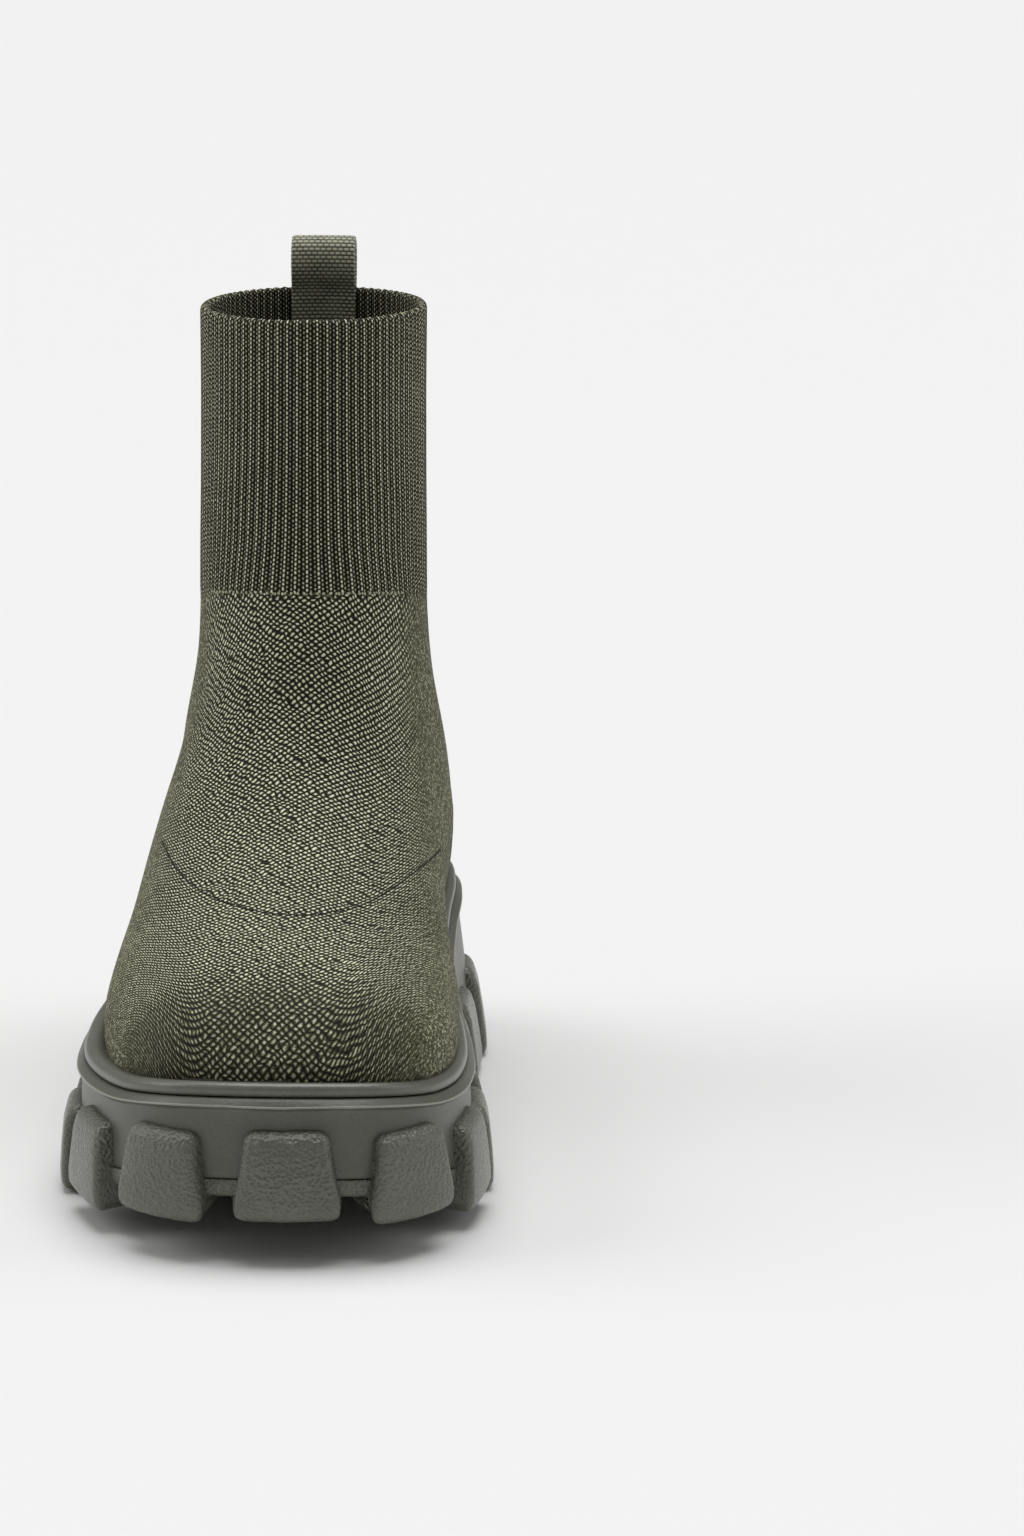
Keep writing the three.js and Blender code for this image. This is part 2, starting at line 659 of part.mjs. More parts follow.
addPiece('outsole', makeOutsole(), 0x5c5e54, 0.6);
addPiece('midsole', makeMidsole(), 0x606258, 0.55);
addPiece('rand', makeRand(), 0x6a6c62, 0.5);
addPiece('insole', makeInsole(), 0x3f4038, 0.9);
addPiece('upper', makeUpper(), 0x5f6051, 0.95);
addPiece('pull_loop', makePullLoop(), 0x5a5b4c, 0.9);

export default boot;
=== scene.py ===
import math

import bmesh
import bpy
import numpy as np
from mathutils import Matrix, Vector
from mathutils.bvhtree import BVHTree


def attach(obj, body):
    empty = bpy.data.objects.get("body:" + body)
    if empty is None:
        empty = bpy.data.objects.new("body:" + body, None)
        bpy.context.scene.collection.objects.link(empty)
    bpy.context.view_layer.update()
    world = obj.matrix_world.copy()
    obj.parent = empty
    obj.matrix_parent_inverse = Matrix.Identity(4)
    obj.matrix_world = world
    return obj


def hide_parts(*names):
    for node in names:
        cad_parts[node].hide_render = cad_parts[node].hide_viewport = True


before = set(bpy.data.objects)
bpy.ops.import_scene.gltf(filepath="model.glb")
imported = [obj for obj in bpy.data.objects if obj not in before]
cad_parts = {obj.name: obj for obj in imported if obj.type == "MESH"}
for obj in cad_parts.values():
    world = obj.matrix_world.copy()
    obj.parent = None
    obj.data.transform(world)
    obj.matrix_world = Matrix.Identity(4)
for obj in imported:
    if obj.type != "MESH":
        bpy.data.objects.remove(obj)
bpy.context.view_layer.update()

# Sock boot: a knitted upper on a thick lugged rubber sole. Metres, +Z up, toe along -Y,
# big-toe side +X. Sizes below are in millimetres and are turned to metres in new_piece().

MM = 0.001

# ---- camera, light and floor

CAMERA_PLACE = (0.1273, -1.6281, 0.4246)
CAMERA_TURN = (78.28, 0.0, 2.40)  # degrees
CAMERA_LENS = 128.9


def linked(name, data):
    """A new object in the scene."""
    piece = bpy.data.objects.new(name, data)
    bpy.context.collection.objects.link(piece)
    return piece


camera_data = bpy.data.cameras.new("camera")
camera_data.sensor_fit = "HORIZONTAL"
camera_data.sensor_width = 24.0
camera_data.lens = CAMERA_LENS
camera_data.clip_end = 60.0
camera = linked("camera", camera_data)
camera.location = CAMERA_PLACE
camera.rotation_euler = [math.radians(angle) for angle in CAMERA_TURN]
bpy.context.scene.camera = camera


def linear(hex_colour):
    """An sRGB hex colour as linear red, green, blue and alpha."""
    parts = [int(hex_colour[i:i + 2], 16) / 255 for i in (1, 3, 5)]
    return [p / 12.92 if p <= 0.04045 else ((p + 0.055) / 1.055) ** 2.4 for p in parts] + [1.0]


def add(tree, kind, links=None, **settings):
    """One node with its inputs, each a value or another node's output, and its settings."""
    node = tree.nodes.new(kind)
    for name, value in settings.items():
        setattr(node, name, value)
    for socket, value in (links or {}).items():
        if isinstance(value, bpy.types.NodeSocket):
            tree.links.new(value, node.inputs[socket])
        else:
            node.inputs[socket].default_value = value
    return node


def work_out(tree, known, steps):
    """Math nodes from a table of (name, operation, part, part...)."""
    for name, operation, *parts in steps:
        links = {n: known[p] if isinstance(p, str) else p for n, p in enumerate(parts)}
        known[name] = add(tree, "ShaderNodeMath", links, operation=operation).outputs[0]
    return known


def humps(name, place, turns=1):
    """Steps for a row of round humps, one at each half of a wave."""
    return [(name + "_turn", "MULTIPLY", place, turns * math.pi),
            (name + "_wave", "SINE", name + "_turn"), (name, "ABSOLUTE", name + "_wave")]


def new_material(name):
    material = bpy.data.materials.new(name)
    material.use_nodes = True
    return material, material.node_tree, material.node_tree.nodes["Principled BSDF"]


def finish_shader(tree, shader, colour, bump, constants):
    """Colour, bump and constants of a material. The colour is another node's output, or a shade
    with its stops (place, hex colour), and the bump is given by its inputs."""
    if isinstance(colour, tuple):
        shade, stops = colour
        ramp = add(tree, "ShaderNodeValToRGB", {"Fac": shade})
        for n, (place, tint) in enumerate(stops):
            stop = ramp.color_ramp.elements[n] if n < 2 else ramp.color_ramp.elements.new(place)
            stop.position, stop.color = place, linear(tint)
        colour = ramp.outputs[0]
    tree.links.new(colour, shader.inputs["Base Color"])
    tree.links.new(add(tree, "ShaderNodeBump", bump).outputs[0], shader.inputs["Normal"])
    for socket, value in constants.items():
        shader.inputs[socket].default_value = value


def daylight(name, azimuth, elevation, power, softness):
    """A very soft distant light. Azimuth 0 is behind the camera's back, 90 the right."""
    data = bpy.data.lights.new(name, "SUN")
    data.energy = power
    data.angle = math.radians(softness)
    turn, lift = math.radians(azimuth), math.radians(elevation)
    way = Vector((math.sin(turn) * math.cos(lift), -math.cos(turn) * math.cos(lift),
                  math.sin(lift)))
    linked(name, data).rotation_euler = way.to_track_quat("Z", "Y").to_euler()


daylight("light_top", 172, 77, 2.3, 50)
daylight("light_left", -98, 34, 0.8, 45)
daylight("light_right", 98, 30, 0.38, 45)

world = bpy.data.worlds.new("studio")
world.use_nodes = True
world.node_tree.nodes["Background"].inputs["Color"].default_value = linear("#f4f4f3")
world.node_tree.nodes["Background"].inputs["Strength"].default_value = 0.2
bpy.context.scene.world = world
bpy.context.scene.view_settings.view_transform = "Standard"  # colours show as their hex values


def floor_material():
    """Matt white studio floor."""
    material, _, shader = new_material("studio_floor_paper")
    shader.inputs["Base Color"].default_value = linear("#eaeaea")
    shader.inputs["Roughness"].default_value = 0.9
    shader.inputs["Specular IOR Level"].default_value = 0.1
    return material


floor_mesh = bpy.data.meshes.new("floor")
floor_mesh.from_pydata([(-15, -8, 0), (15, -8, 0), (15, 25, 0), (-15, 25, 0)], [], [(0, 1, 2, 3)])
floor = linked("floor", floor_mesh)
floor.data.materials.append(floor_material())

# ---- sole lines, as on the solids

SOLE_LENGTH, HEEL_BACK, BALL_WIDTH, HEEL_SEAT = 276.0, 45.5, 108.0, 51.6
TOE_SPRING, WAIST_LIFT, HEEL_BEVEL = 12.2, 2.0, 2.5
TREAD_DEPTH, PLATE_THICKNESS = 5.8, 4.6
FLARE_HEEL, FLARE_TOE = 4.6, 1.0
FLANGE_HEIGHT, SEAT_INSET = 4.2, 2.0
LUG_PROUD_TOE, LUG_PROUD_HEEL = 5.8, 5.0
LUG_PLACES = [0.108, 0.217, 0.327, 0.438, 0.551, 0.666, 0.782, 0.896]
LUG_WIDTH, LUG_HEIGHT_TOE, LUG_HEIGHT_HEEL, LUG_REACH = 31.5, 24.0, 29.0, 21.0
PAD_WIDTH, PAD_LENGTH, PAD_PITCH, PAD_COUNT = 26.0, 27.0, 37.0, 6
INSET_TOE, INSET_HEEL = 4.0, 3.8
KNIT_WALL, LEG_HEIGHT, LEG_WIDTH, LEG_DEPTH = 3.0, 176.0, 67.0, 88.0
RAND_WIDTH, RAND_HEIGHT, INSOLE_THICKNESS = 3.4, 3.6, 4.0
LOOP_WIDTH, LOOP_THICKNESS, LOOP_RISE = 19.5, 1.6, 15.5
LOOP_INSIDE, LOOP_OUTSIDE, LOOP_GAP = 13.0, 20.0, 7.2
GAP = 0.3  # between pieces that touch

# along the sole from heel to toe, half width on the big-toe side, half width on the other
SOLE_OUTLINE = np.array([
    (0.0, 0.0, 0.0), (0.004, 0.09, 0.09), (0.02, 0.198, 0.198), (0.06, 0.308, 0.308),
    (0.12, 0.373, 0.375), (0.2, 0.397, 0.4), (0.3, 0.396, 0.412), (0.42, 0.405, 0.438),
    (0.54, 0.44, 0.477), (0.65, 0.481, 0.504), (0.76, 0.501, 0.487), (0.86, 0.481, 0.41),
    (0.93, 0.424, 0.318), (0.973, 0.332, 0.212), (0.994, 0.215, 0.085), (1.0, 0.09, -0.035)])
SEAT_LINE = np.array([
    (0.0, 1.02), (0.18, 1.0), (0.36, 0.9), (0.52, 0.785), (0.66, 0.725), (0.78, 0.725),
    (0.9, 0.773), (1.0, 0.872)])
# rise, front, back and half width of the ribbed cuff, as shares of its height, depth and width
CUFF_LINE = np.array([
    (0.6, 0.617, 0.466, 0.503), (0.72, 0.568, 0.47, 0.5), (0.86, 0.531, 0.484, 0.499),
    (1.0, 0.5, 0.5, 0.502)])


def smoothstep(value, low, high):
    """0 below low, 1 above high and a soft rise between."""
    t = np.clip((np.asarray(value, float) - low) / (high - low), 0, 1)
    return t * t * (3 - 2 * t)


def table_curve(rows, column):
    """A smooth curve through a table's rows, read by the first column."""
    x, f = rows[:, 0], rows[:, column]
    slopes = np.empty(len(x))
    slopes[0] = (f[1] - f[0]) / (x[1] - x[0])
    slopes[-1] = (f[-1] - f[-2]) / (x[-1] - x[-2])
    slopes[1:-1] = (f[2:] - f[:-2]) / (x[2:] - x[:-2])

    def curve(value):
        value = np.asarray(value, float)
        i = np.clip(np.searchsorted(x, value, side="left") - 1, 0, len(x) - 2)
        span = x[i + 1] - x[i]
        t = np.clip((value - x[i]) / span, 0, 1)
        near = (2 * t ** 3 - 3 * t ** 2 + 1) * f[i] + (t ** 3 - 2 * t ** 2 + t) * slopes[i] * span
        far = (3 * t ** 2 - 2 * t ** 3) * f[i + 1] + (t ** 3 - t ** 2) * slopes[i + 1] * span
        return near + far
    return curve


def sole_along(y):
    return (HEEL_BACK - np.asarray(y, float)) / SOLE_LENGTH


seat_share = table_curve(SEAT_LINE, 1)


def seat_at(y):
    return HEEL_SEAT * seat_share(np.clip(sole_along(y), 0, 1))


def tread_at(y):
    along = np.clip(sole_along(y), 0, 1)
    toe = np.maximum(0, (along - 0.7) / 0.3)
    waist = np.clip((along - 0.3) / 0.25, 0, 1)
    heel = np.maximum(0, (0.09 - along) / 0.09)
    lift = WAIST_LIFT * np.sin(np.pi * waist) ** 2
    return TOE_SPRING * toe ** 1.2 + lift + HEEL_BEVEL * heel ** 2


def toe_heel(toe, heel, y):
    return heel + (toe - heel) * smoothstep(sole_along(y), 0.1, 0.6)


def plate_bottom(y):
    return tread_at(y) + TREAD_DEPTH


def plate_top(y):
    return plate_bottom(y) + PLATE_THICKNESS


def catmull(points, steps=60):
    """A smooth line through points, spaced by the square root of their distances."""
    points = np.asarray(points, float)
    padded = np.vstack([2 * points[0] - points[1], points, 2 * points[-1] - points[-2]])
    line = []
    for i in range(1, len(padded) - 2):
        p0, p1, p2, p3 = padded[i - 1:i + 3]
        d0, d1, d2 = [math.sqrt(np.linalg.norm(b - a)) for a, b in ((p0, p1), (p1, p2), (p2, p3))]
        t1 = ((p1 - p0) / d0 - (p2 - p0) / (d0 + d1) + (p2 - p1) / d1) * d1
        t2 = ((p2 - p1) / d1 - (p3 - p1) / (d1 + d2) + (p3 - p2) / d2) * d1
        t = np.linspace(0, 1, steps, endpoint=False)[:, None]
        line.append(p1 + t1 * t + (3 * (p2 - p1) - 2 * t1 - t2) * t ** 2
                    + (2 * (p1 - p2) + t1 + t2) * t ** 3)
    line.append(points[-1:])
    return np.vstack(line)


def side_line(side):
    """The wall's outline on one side, from the heel's back to the toe."""
    column = 1 if side > 0 else 2
    points = [(side * BALL_WIDTH * row[column], HEEL_BACK - row[0] * SOLE_LENGTH)
              for row in SOLE_OUTLINE]
    points.append((BALL_WIDTH * 0.09, HEEL_BACK - SOLE_LENGTH - 0.3))
    return catmull(points)


def walk(line):
    """Distance along a line of points, from its start."""
    return np.concatenate([[0], np.cumsum(np.linalg.norm(np.diff(line, axis=0), axis=1))])


MEDIAL, LATERAL = side_line(1), side_line(-1)
MEDIAL_LENGTH, LATERAL_LENGTH = walk(MEDIAL)[-1], walk(LATERAL)[-1]
JOINT_REACH = 150  # points that are smoothed on each side of the heel's back and the toe
JOINT_PASSES = 400
NORMAL_REACH = 14  # points ahead and behind that give the way outwards


def whole_outline():
    """The outline once round, its shares and its ways outwards. Shares run from 0 at the heel's
    back over the big-toe side to 1 at the toe, then back to 2."""
    line = np.vstack([MEDIAL[:-1], LATERAL[::-1][:-1]])
    share = np.concatenate([
        (walk(MEDIAL) / MEDIAL_LENGTH)[:-1], 2 - (walk(LATERAL) / LATERAL_LENGTH)[::-1][:-1]])
    for joint in (0, len(MEDIAL) - 1):
        # The two side lines meet without a corner.
        near = (np.arange(-JOINT_REACH, JOINT_REACH + 1) + joint) % len(line)
        for _ in range(JOINT_PASSES):
            line[near[1:-1]] = (line[near[:-2]] + 2 * line[near[1:-1]] + line[near[2:]]) / 4
    ahead = np.roll(line, -NORMAL_REACH, axis=0) - np.roll(line, NORMAL_REACH, axis=0)
    out = np.stack([-ahead[:, 1], ahead[:, 0]], axis=1)
    return line, share, out / np.linalg.norm(out, axis=1, keepdims=True)


ROUND, ROUND_SHARE, ROUND_OUT = whole_outline()


def edge_place(share, outwards=0.0):
    """Points on the sole's outline at shares 0 to 2 round it, moved outwards."""
    share = np.mod(np.asarray(share, float), 2.0)
    whole = np.append(ROUND_SHARE, 2.0)
    read = lambda values: np.interp(share, whole, np.append(values, values[0]))
    out = np.stack([read(ROUND_OUT[:, 0]), read(ROUND_OUT[:, 1])], axis=-1)
    out /= np.linalg.norm(out, axis=-1, keepdims=True)
    flat = np.stack([read(ROUND[:, 0]), read(ROUND[:, 1])], axis=-1)
    return flat + out * np.asarray(outwards, float)[..., None]


RING_STEPS = 300


def ring_shares():
    """Shares once round the sole, closer together at the heel's back and the toe."""
    even = np.arange(RING_STEPS + 1) / RING_STEPS
    half = 0.7 * (1 - np.cos(np.pi * even)) / 2 + 0.3 * even
    return np.concatenate([half, 2 - half[1:-1][::-1]])


RING_SHARES = ring_shares()


def sole_ring(outwards, height, flare=0.0):
    """One closed ring round the sole. flare 1 is the wall's foot and 0 its top."""
    y = edge_place(RING_SHARES)[:, 1]
    out = outwards(y) if callable(outwards) else np.full(len(y), float(outwards))
    flat = edge_place(RING_SHARES, out + flare * toe_heel(FLARE_TOE, FLARE_HEEL, y))
    return np.column_stack([flat, height(flat[:, 1])])


def close_up(data):
    """Merges doubles and turns every face outwards."""
    mesh = bmesh.new()
    mesh.from_mesh(data)
    bmesh.ops.remove_doubles(mesh, verts=mesh.verts, dist=1e-6)
    bmesh.ops.dissolve_degenerate(mesh, dist=1e-8, edges=mesh.edges)
    bmesh.ops.recalc_face_normals(mesh, faces=mesh.faces)
    mesh.to_mesh(data)
    mesh.free()


def new_piece(name, points, faces, material, uv_maps=None, zones=None):
    """A closed smooth mesh object from points in millimetres, with UV maps and zones (weights
    from 0 to 1) per point."""
    mesh = bpy.data.meshes.new(name)
    mesh.from_pydata((np.asarray(points) * MM).tolist(), [], [list(map(int, f)) for f in faces])
    corners = np.empty(len(mesh.loops), int)
    mesh.loops.foreach_get("vertex_index", corners)
    for label, uv in (uv_maps or {}).items():
        layer = mesh.uv_layers.new(name=label)
        layer.data.foreach_set("uv", np.asarray(uv, float)[corners].ravel())
    for label, zone in (zones or {}).items():
        mesh.attributes.new(label, "FLOAT", "POINT").data.foreach_set("value", zone)
    mesh.polygons.foreach_set("use_smooth", [True] * len(mesh.polygons))
    mesh.materials.append(material)
    close_up(mesh)
    return linked(name, mesh)


def apply_modifiers(piece):
    """The piece with its modifiers turned into plain mesh."""
    graph = bpy.context.evaluated_depsgraph_get()
    mesh = bpy.data.meshes.new_from_object(piece.evaluated_get(graph))
    piece.modifiers.clear()
    piece.data = mesh


def loop_quads(rows, count, joined=False):
    """Quads between equal loops of points, and from the last back to the first if joined."""
    faces = []
    for j in range(rows if joined else rows - 1):
        k = (j + 1) % rows
        for i in range(count):
            n = (i + 1) % count
            faces.append((j * count + i, j * count + n, k * count + n, k * count + i))
    return faces


def tube_faces(rows, count):
    """Quads along a row of equal profiles, with a face over each end."""
    last = (rows - 1) * count
    ends = [tuple(range(count))[::-1], tuple(last + i for i in range(count))]
    return loop_quads(rows, count) + ends


def sole_body(name, rings, material, joined=False):
    """A closed piece through rings round the sole, with strips over both ends unless joined."""
    count = len(rings[0])
    faces = loop_quads(len(rings), count, joined)
    if not joined:
        top = (len(rings) - 1) * count
        for i in range(count // 2):
            a, b, c, d = i, i + 1, count - i - 1, (count - i) % count
            faces.append(tuple(dict.fromkeys((a, d, c, b))))
            faces.append(tuple(dict.fromkeys((top + a, top + b, top + c, top + d))))
    return new_piece(name, np.vstack(rings), faces, material)


# ---- materials

def rubber(name, dark, light, roughness, grain_mm, grain_depth):
    """Moulded synthetic rubber: a satin skin with a fine grain, slightly cloudy in colour. The
    grain is worn fainter near the floor."""
    material, tree, shader = new_material(name)
    place = add(tree, "ShaderNodeTexCoord").outputs["Object"]
    cloud = add(tree, "ShaderNodeTexNoise", {
        "Vector": place, "Scale": 1000 / 30.0, "Detail": 3.0, "Roughness": 0.55}).outputs[0]
    grain = add(tree, "ShaderNodeTexVoronoi", {
        "Vector": place, "Scale": 1000 / grain_mm, "Smoothness": 0.6},
        feature="SMOOTH_F1").outputs["Distance"]
    fine = add(tree, "ShaderNodeTexNoise", {
        "Vector": place, "Scale": 1800 / grain_mm, "Detail": 4.0, "Roughness": 0.6}).outputs[0]
    rise = add(tree, "ShaderNodeSeparateXYZ", {0: place}).outputs[2]
    worn = add(tree, "ShaderNodeMapRange", {
        "Value": rise, "From Min": 4 * MM, "From Max": 24 * MM, "To Min": 0.3,
        "To Max": 1.0}).outputs[0]
    known = work_out(tree, {"cloud": cloud, "grain": grain, "fine": fine, "worn": worn}, [
        ("pebbles", "MULTIPLY", "grain", 0.9), ("coarse", "MULTIPLY", "pebbles", "worn"),
        ("height", "MULTIPLY_ADD", "fine", 0.35, "coarse"),
        ("tone_grain", "MULTIPLY", "height", 0.35),
        ("tone", "MULTIPLY_ADD", "cloud", 0.8, "tone_grain"),
        ("rough", "MULTIPLY_ADD", "fine", 0.18, roughness - 0.09),
    ])
    tint = add(tree, "ShaderNodeMapRange", {
        "Value": known["tone"], "From Min": 0.3, "From Max": 0.95}).outputs[0]
    colour = add(tree, "ShaderNodeMix", {
        "Factor": tint, 6: linear(dark), 7: linear(light)}, data_type="RGBA").outputs[2]
    tree.links.new(known["rough"], shader.inputs["Roughness"])
    finish_shader(tree, shader, colour, {
        "Height": known["height"], "Distance": grain_depth * MM, "Strength": 1.0}, {
        "Specular IOR Level": 0.6})
    return material


MIDSOLE_RUBBER = rubber("moulded_rubber_satin", "#4f5046", "#616256", 0.4, 0.9, 0.05)
OUTSOLE_RUBBER = rubber("moulded_rubber_leather_grain", "#55564b", "#717266", 0.28, 1.05, 0.5)
RAND_RUBBER = rubber("soft_rubber_bead", "#595a50", "#6e6f65", 0.34, 1.2, 0.05)
# lighter rubber for the line along the lip's edge: a painted highlight
EDGE_HIGHLIGHT_RUBBER = rubber("painted_highlight_edge_rubber", "#7c7d72", "#9b9c90", 0.3, 1.2, 0.03)

SIDE_KNOT = 0.95  # knots at the sides and the heel, across

# The knit patterns are worked out in stitches: U counts columns and V rows.
KNIT_STEPS = [
    # front: small round knots set diagonally, each a little out of line, fuller at the toe
    ("even_U", "MULTIPLY", "U", 1.12), ("dot_U", "MULTIPLY_ADD", "shift_V", 0.8, "even_U"),
    ("dot_V", "MULTIPLY_ADD", "shift_U", 1.2, "V"),
    ("sum", "ADD", "dot_U", "dot_V"), *humps("up_right", "sum"),
    ("difference", "SUBTRACT", "dot_U", "dot_V"), *humps("up_left", "difference"),
    ("knot_size", "MULTIPLY", "up_right", "up_left"),
    ("thinness", "MULTIPLY_ADD", "toe_zone", -0.25, 0.95),
    ("dots", "POWER", "knot_size", "thinness"),
    # rib: a column of round beads on the ridge and two finer ones beside it
    *humps("rib_line", "rib_U", 3), ("ridge_turn", "MULTIPLY", "rib_U", 2 * math.pi),
    ("ridge_wave", "COSINE", "ridge_turn"), ("ridge", "MULTIPLY_ADD", "ridge_wave", -0.24, 0.8),
    ("side", "SIGN", "rib_line_wave"), ("bead_place", "MULTIPLY_ADD", "side", 0.25, "rib_V"),
    ("bead_lift", "MULTIPLY_ADD", "shift_V", 1.2, "bead_place"), *humps("bead_row", "bead_lift"),
    ("bead", "MULTIPLY_ADD", "bead_row", 0.8, 0.2), ("line_bead", "MULTIPLY", "rib_line", "bead"),
    ("ribs", "MULTIPLY", "line_bead", "ridge"),
]


def knit_material():
    """Knitted textured polyester yarn: matt, springy stitches, coloured darker in the gaps between
    them and lighter on their tops as painted shade and painted highlight. Columns of beads on the
    ribs, knots in slanting rows in front, loose knots at the sides and the heel."""
    material, tree, shader = new_material("knitted_polyester_yarn")
    stitches, ribs = (add(tree, "ShaderNodeSeparateXYZ", {
        0: add(tree, "ShaderNodeUVMap", uv_map=label).outputs[0]}).outputs
        for label in ("stitches", "ribs"))
    known = {zone: add(tree, "ShaderNodeAttribute", attribute_name=zone).outputs["Fac"]
             for zone in ("rib_zone", "toe_zone", "side_zone")}
    place = add(tree, "ShaderNodeTexCoord").outputs["Object"]
    # rows wander over 4 mm, and the yarn has clouds of 36 mm, flecks of 1.4 mm, fibres of 0.4 mm
    noises = {label: add(tree, "ShaderNodeTexNoise", {
        "Vector": place, "Scale": scale, "Detail": detail}).outputs
        for label, scale, detail in (("wobble", 240.0, 2.0), ("cloud", 28.0, 3.0),
                                     ("fleck", 700.0, 1.0), ("fuzz", 2600.0, 2.0))}
    wobble = add(tree, "ShaderNodeSeparateXYZ", {0: noises["wobble"]["Color"]}).outputs
    cell = add(tree, "ShaderNodeTexVoronoi", {
        "Vector": place, "Scale": 1000 / SIDE_KNOT, "Randomness": 0.8}).outputs["Distance"]
    known.update({label: noises[label][0] for label in ("cloud", "fleck", "fuzz")})
    known.update({
        "cell": cell, "raw_U": stitches[0], "raw_V": stitches[1], "rib_U": ribs[0],
        "rib_V": ribs[1], "wobble_U": wobble[0], "wobble_V": wobble[1]})
    known = work_out(tree, known, [
        ("shift_U", "SUBTRACT", "wobble_U", 0.5), ("shift_V", "SUBTRACT", "wobble_V", 0.5),
        ("U", "MULTIPLY_ADD", "shift_U", 0.45, "raw_U"),
        ("V", "MULTIPLY_ADD", "shift_V", 0.8, "raw_V"),
    ] + KNIT_STEPS + [
        # at the sides and the heel the rows of knots lose their order
        ("cell_knot", "MULTIPLY_ADD", "cell", -0.42, 0.69), ("loose", "MAXIMUM", "cell_knot", 0.0),
        ("not_side", "SUBTRACT", 1.0, "side_zone"), ("low", "MULTIPLY_ADD", "toe_zone", -0.38, 1.0),
        ("low_dots", "MULTIPLY", "dots", "low"), ("front_part", "MULTIPLY", "low_dots", "not_side"),
        ("knots", "MULTIPLY_ADD", "loose", "side_zone", "front_part"),
        # ribs above, knots below
        ("not_rib", "SUBTRACT", 1.0, "rib_zone"), ("body_part", "MULTIPLY", "knots", "not_rib"),
        ("knit", "MULTIPLY_ADD", "ribs", "rib_zone", "body_part"),
        ("fuzz_part", "MULTIPLY_ADD", "fuzz", 0.3, -0.15), ("height", "ADD", "knit", "fuzz_part"),
        ("cloud_part", "MULTIPLY_ADD", "cloud", 0.12, -0.06),
        ("clouded", "ADD", "height", "cloud_part"),
        # each stitch catches the light a little differently
        ("fleck_part", "MULTIPLY_ADD", "fleck", 0.5, -0.25),
        ("fleck_knit", "MULTIPLY", "fleck_part", "knit"),
        ("flecked", "ADD", "clouded", "fleck_knit"),
        # the knots of the toe lie lower, so their painted highlights are dimmer, and the toe's
        # front gets a little painted light
        ("toe_front", "MULTIPLY", "toe_zone", "not_side"),
        ("shade", "MULTIPLY_ADD", "toe_front", 0.06, "flecked"),
    ])
    # dark in the low gaps and light on the high knots and ribs: painted shade and painted highlight
    stops = ((0.24, "#0e0d07"), (0.8, "#f2f2d2"), (0.5, "#57573f"))
    finish_shader(tree, shader, (known["shade"], stops), {
        "Height": known["height"], "Distance": 0.8 * MM, "Strength": 1.0}, {
        "Roughness": 0.8, "Specular IOR Level": 0.2, "Sheen Weight": 0.12, "Sheen Roughness": 0.5,
        "Sheen Tint": linear("#b9baa6")})
    return material


KNIT = knit_material()


def webbing_material():
    """Woven polyester webbing: rows of short flat yarns with a little shine; the colour is painted
    shade between the yarns and painted highlight on their tops.
    """
    material, tree, shader = new_material("woven_polyester_webbing")
    weave = add(tree, "ShaderNodeSeparateXYZ", {
        0: add(tree, "ShaderNodeUVMap", uv_map="weave").outputs[0]}).outputs
    place = add(tree, "ShaderNodeTexCoord").outputs["Object"]
    cloud = add(tree, "ShaderNodeTexNoise", {
        "Vector": place, "Scale": 220.0, "Detail": 3.0}).outputs[0]
    known = work_out(tree, {"U": weave[0], "V": weave[1], "cloud": cloud}, [
        # short flat yarns in rows, each row set half a yarn along
        ("row_number", "FLOOR", "V"), ("half_step", "MULTIPLY", "row_number", 0.5),
        ("yarn", "MULTIPLY_ADD", "U", 0.65, "half_step"), *humps("yarn_size", "yarn"),
        ("yarn_flat", "POWER", "yarn_size", 0.5), *humps("row", "V"),
        ("height", "MULTIPLY", "yarn_flat", "row"),
        ("cloud_part", "MULTIPLY_ADD", "cloud", 0.4, -0.2),
        ("shade", "ADD", "height", "cloud_part"),
    ])
    # dark between the yarns and light on their tops: painted shade and painted highlight
    finish_shader(tree, shader, (known["shade"], ((0.0, "#0b0a05"), (0.9, "#bfc0a6"))), {
        "Height": known["height"], "Distance": 0.25 * MM, "Strength": 0.9}, {
        "Roughness": 0.75, "Sheen Weight": 0.15})
    return material


WEBBING = webbing_material()


def lining_material():
    """Brushed tricot lining on a foam insole: dark, matt, with a fine honeycomb of holes."""
    material, tree, shader = new_material("tricot_lined_foam")
    place = add(tree, "ShaderNodeTexCoord").outputs["Object"]
    cells = add(tree, "ShaderNodeTexVoronoi", {
        "Vector": place, "Scale": 620.0}, feature="F1").outputs["Distance"]
    cloud = add(tree, "ShaderNodeTexNoise", {
        "Vector": place, "Scale": 60.0, "Detail": 3.0}).outputs[0]
    known = work_out(tree, {"cells": cells, "cloud": cloud}, [
        ("pits", "MULTIPLY_ADD", "cells", -0.9, 1.0),
        ("shade", "MULTIPLY_ADD", "cloud", 0.4, -0.1), ("tone", "MULTIPLY", "pits", "shade")])
    finish_shader(tree, shader, (known["tone"], ((0.0, "#1f1f19"), (0.5, "#4b4b3f"))), {
        "Height": known["pits"], "Distance": 0.3 * MM}, {"Roughness": 0.95})
    return material


LINING = lining_material()

# ---- knitted upper

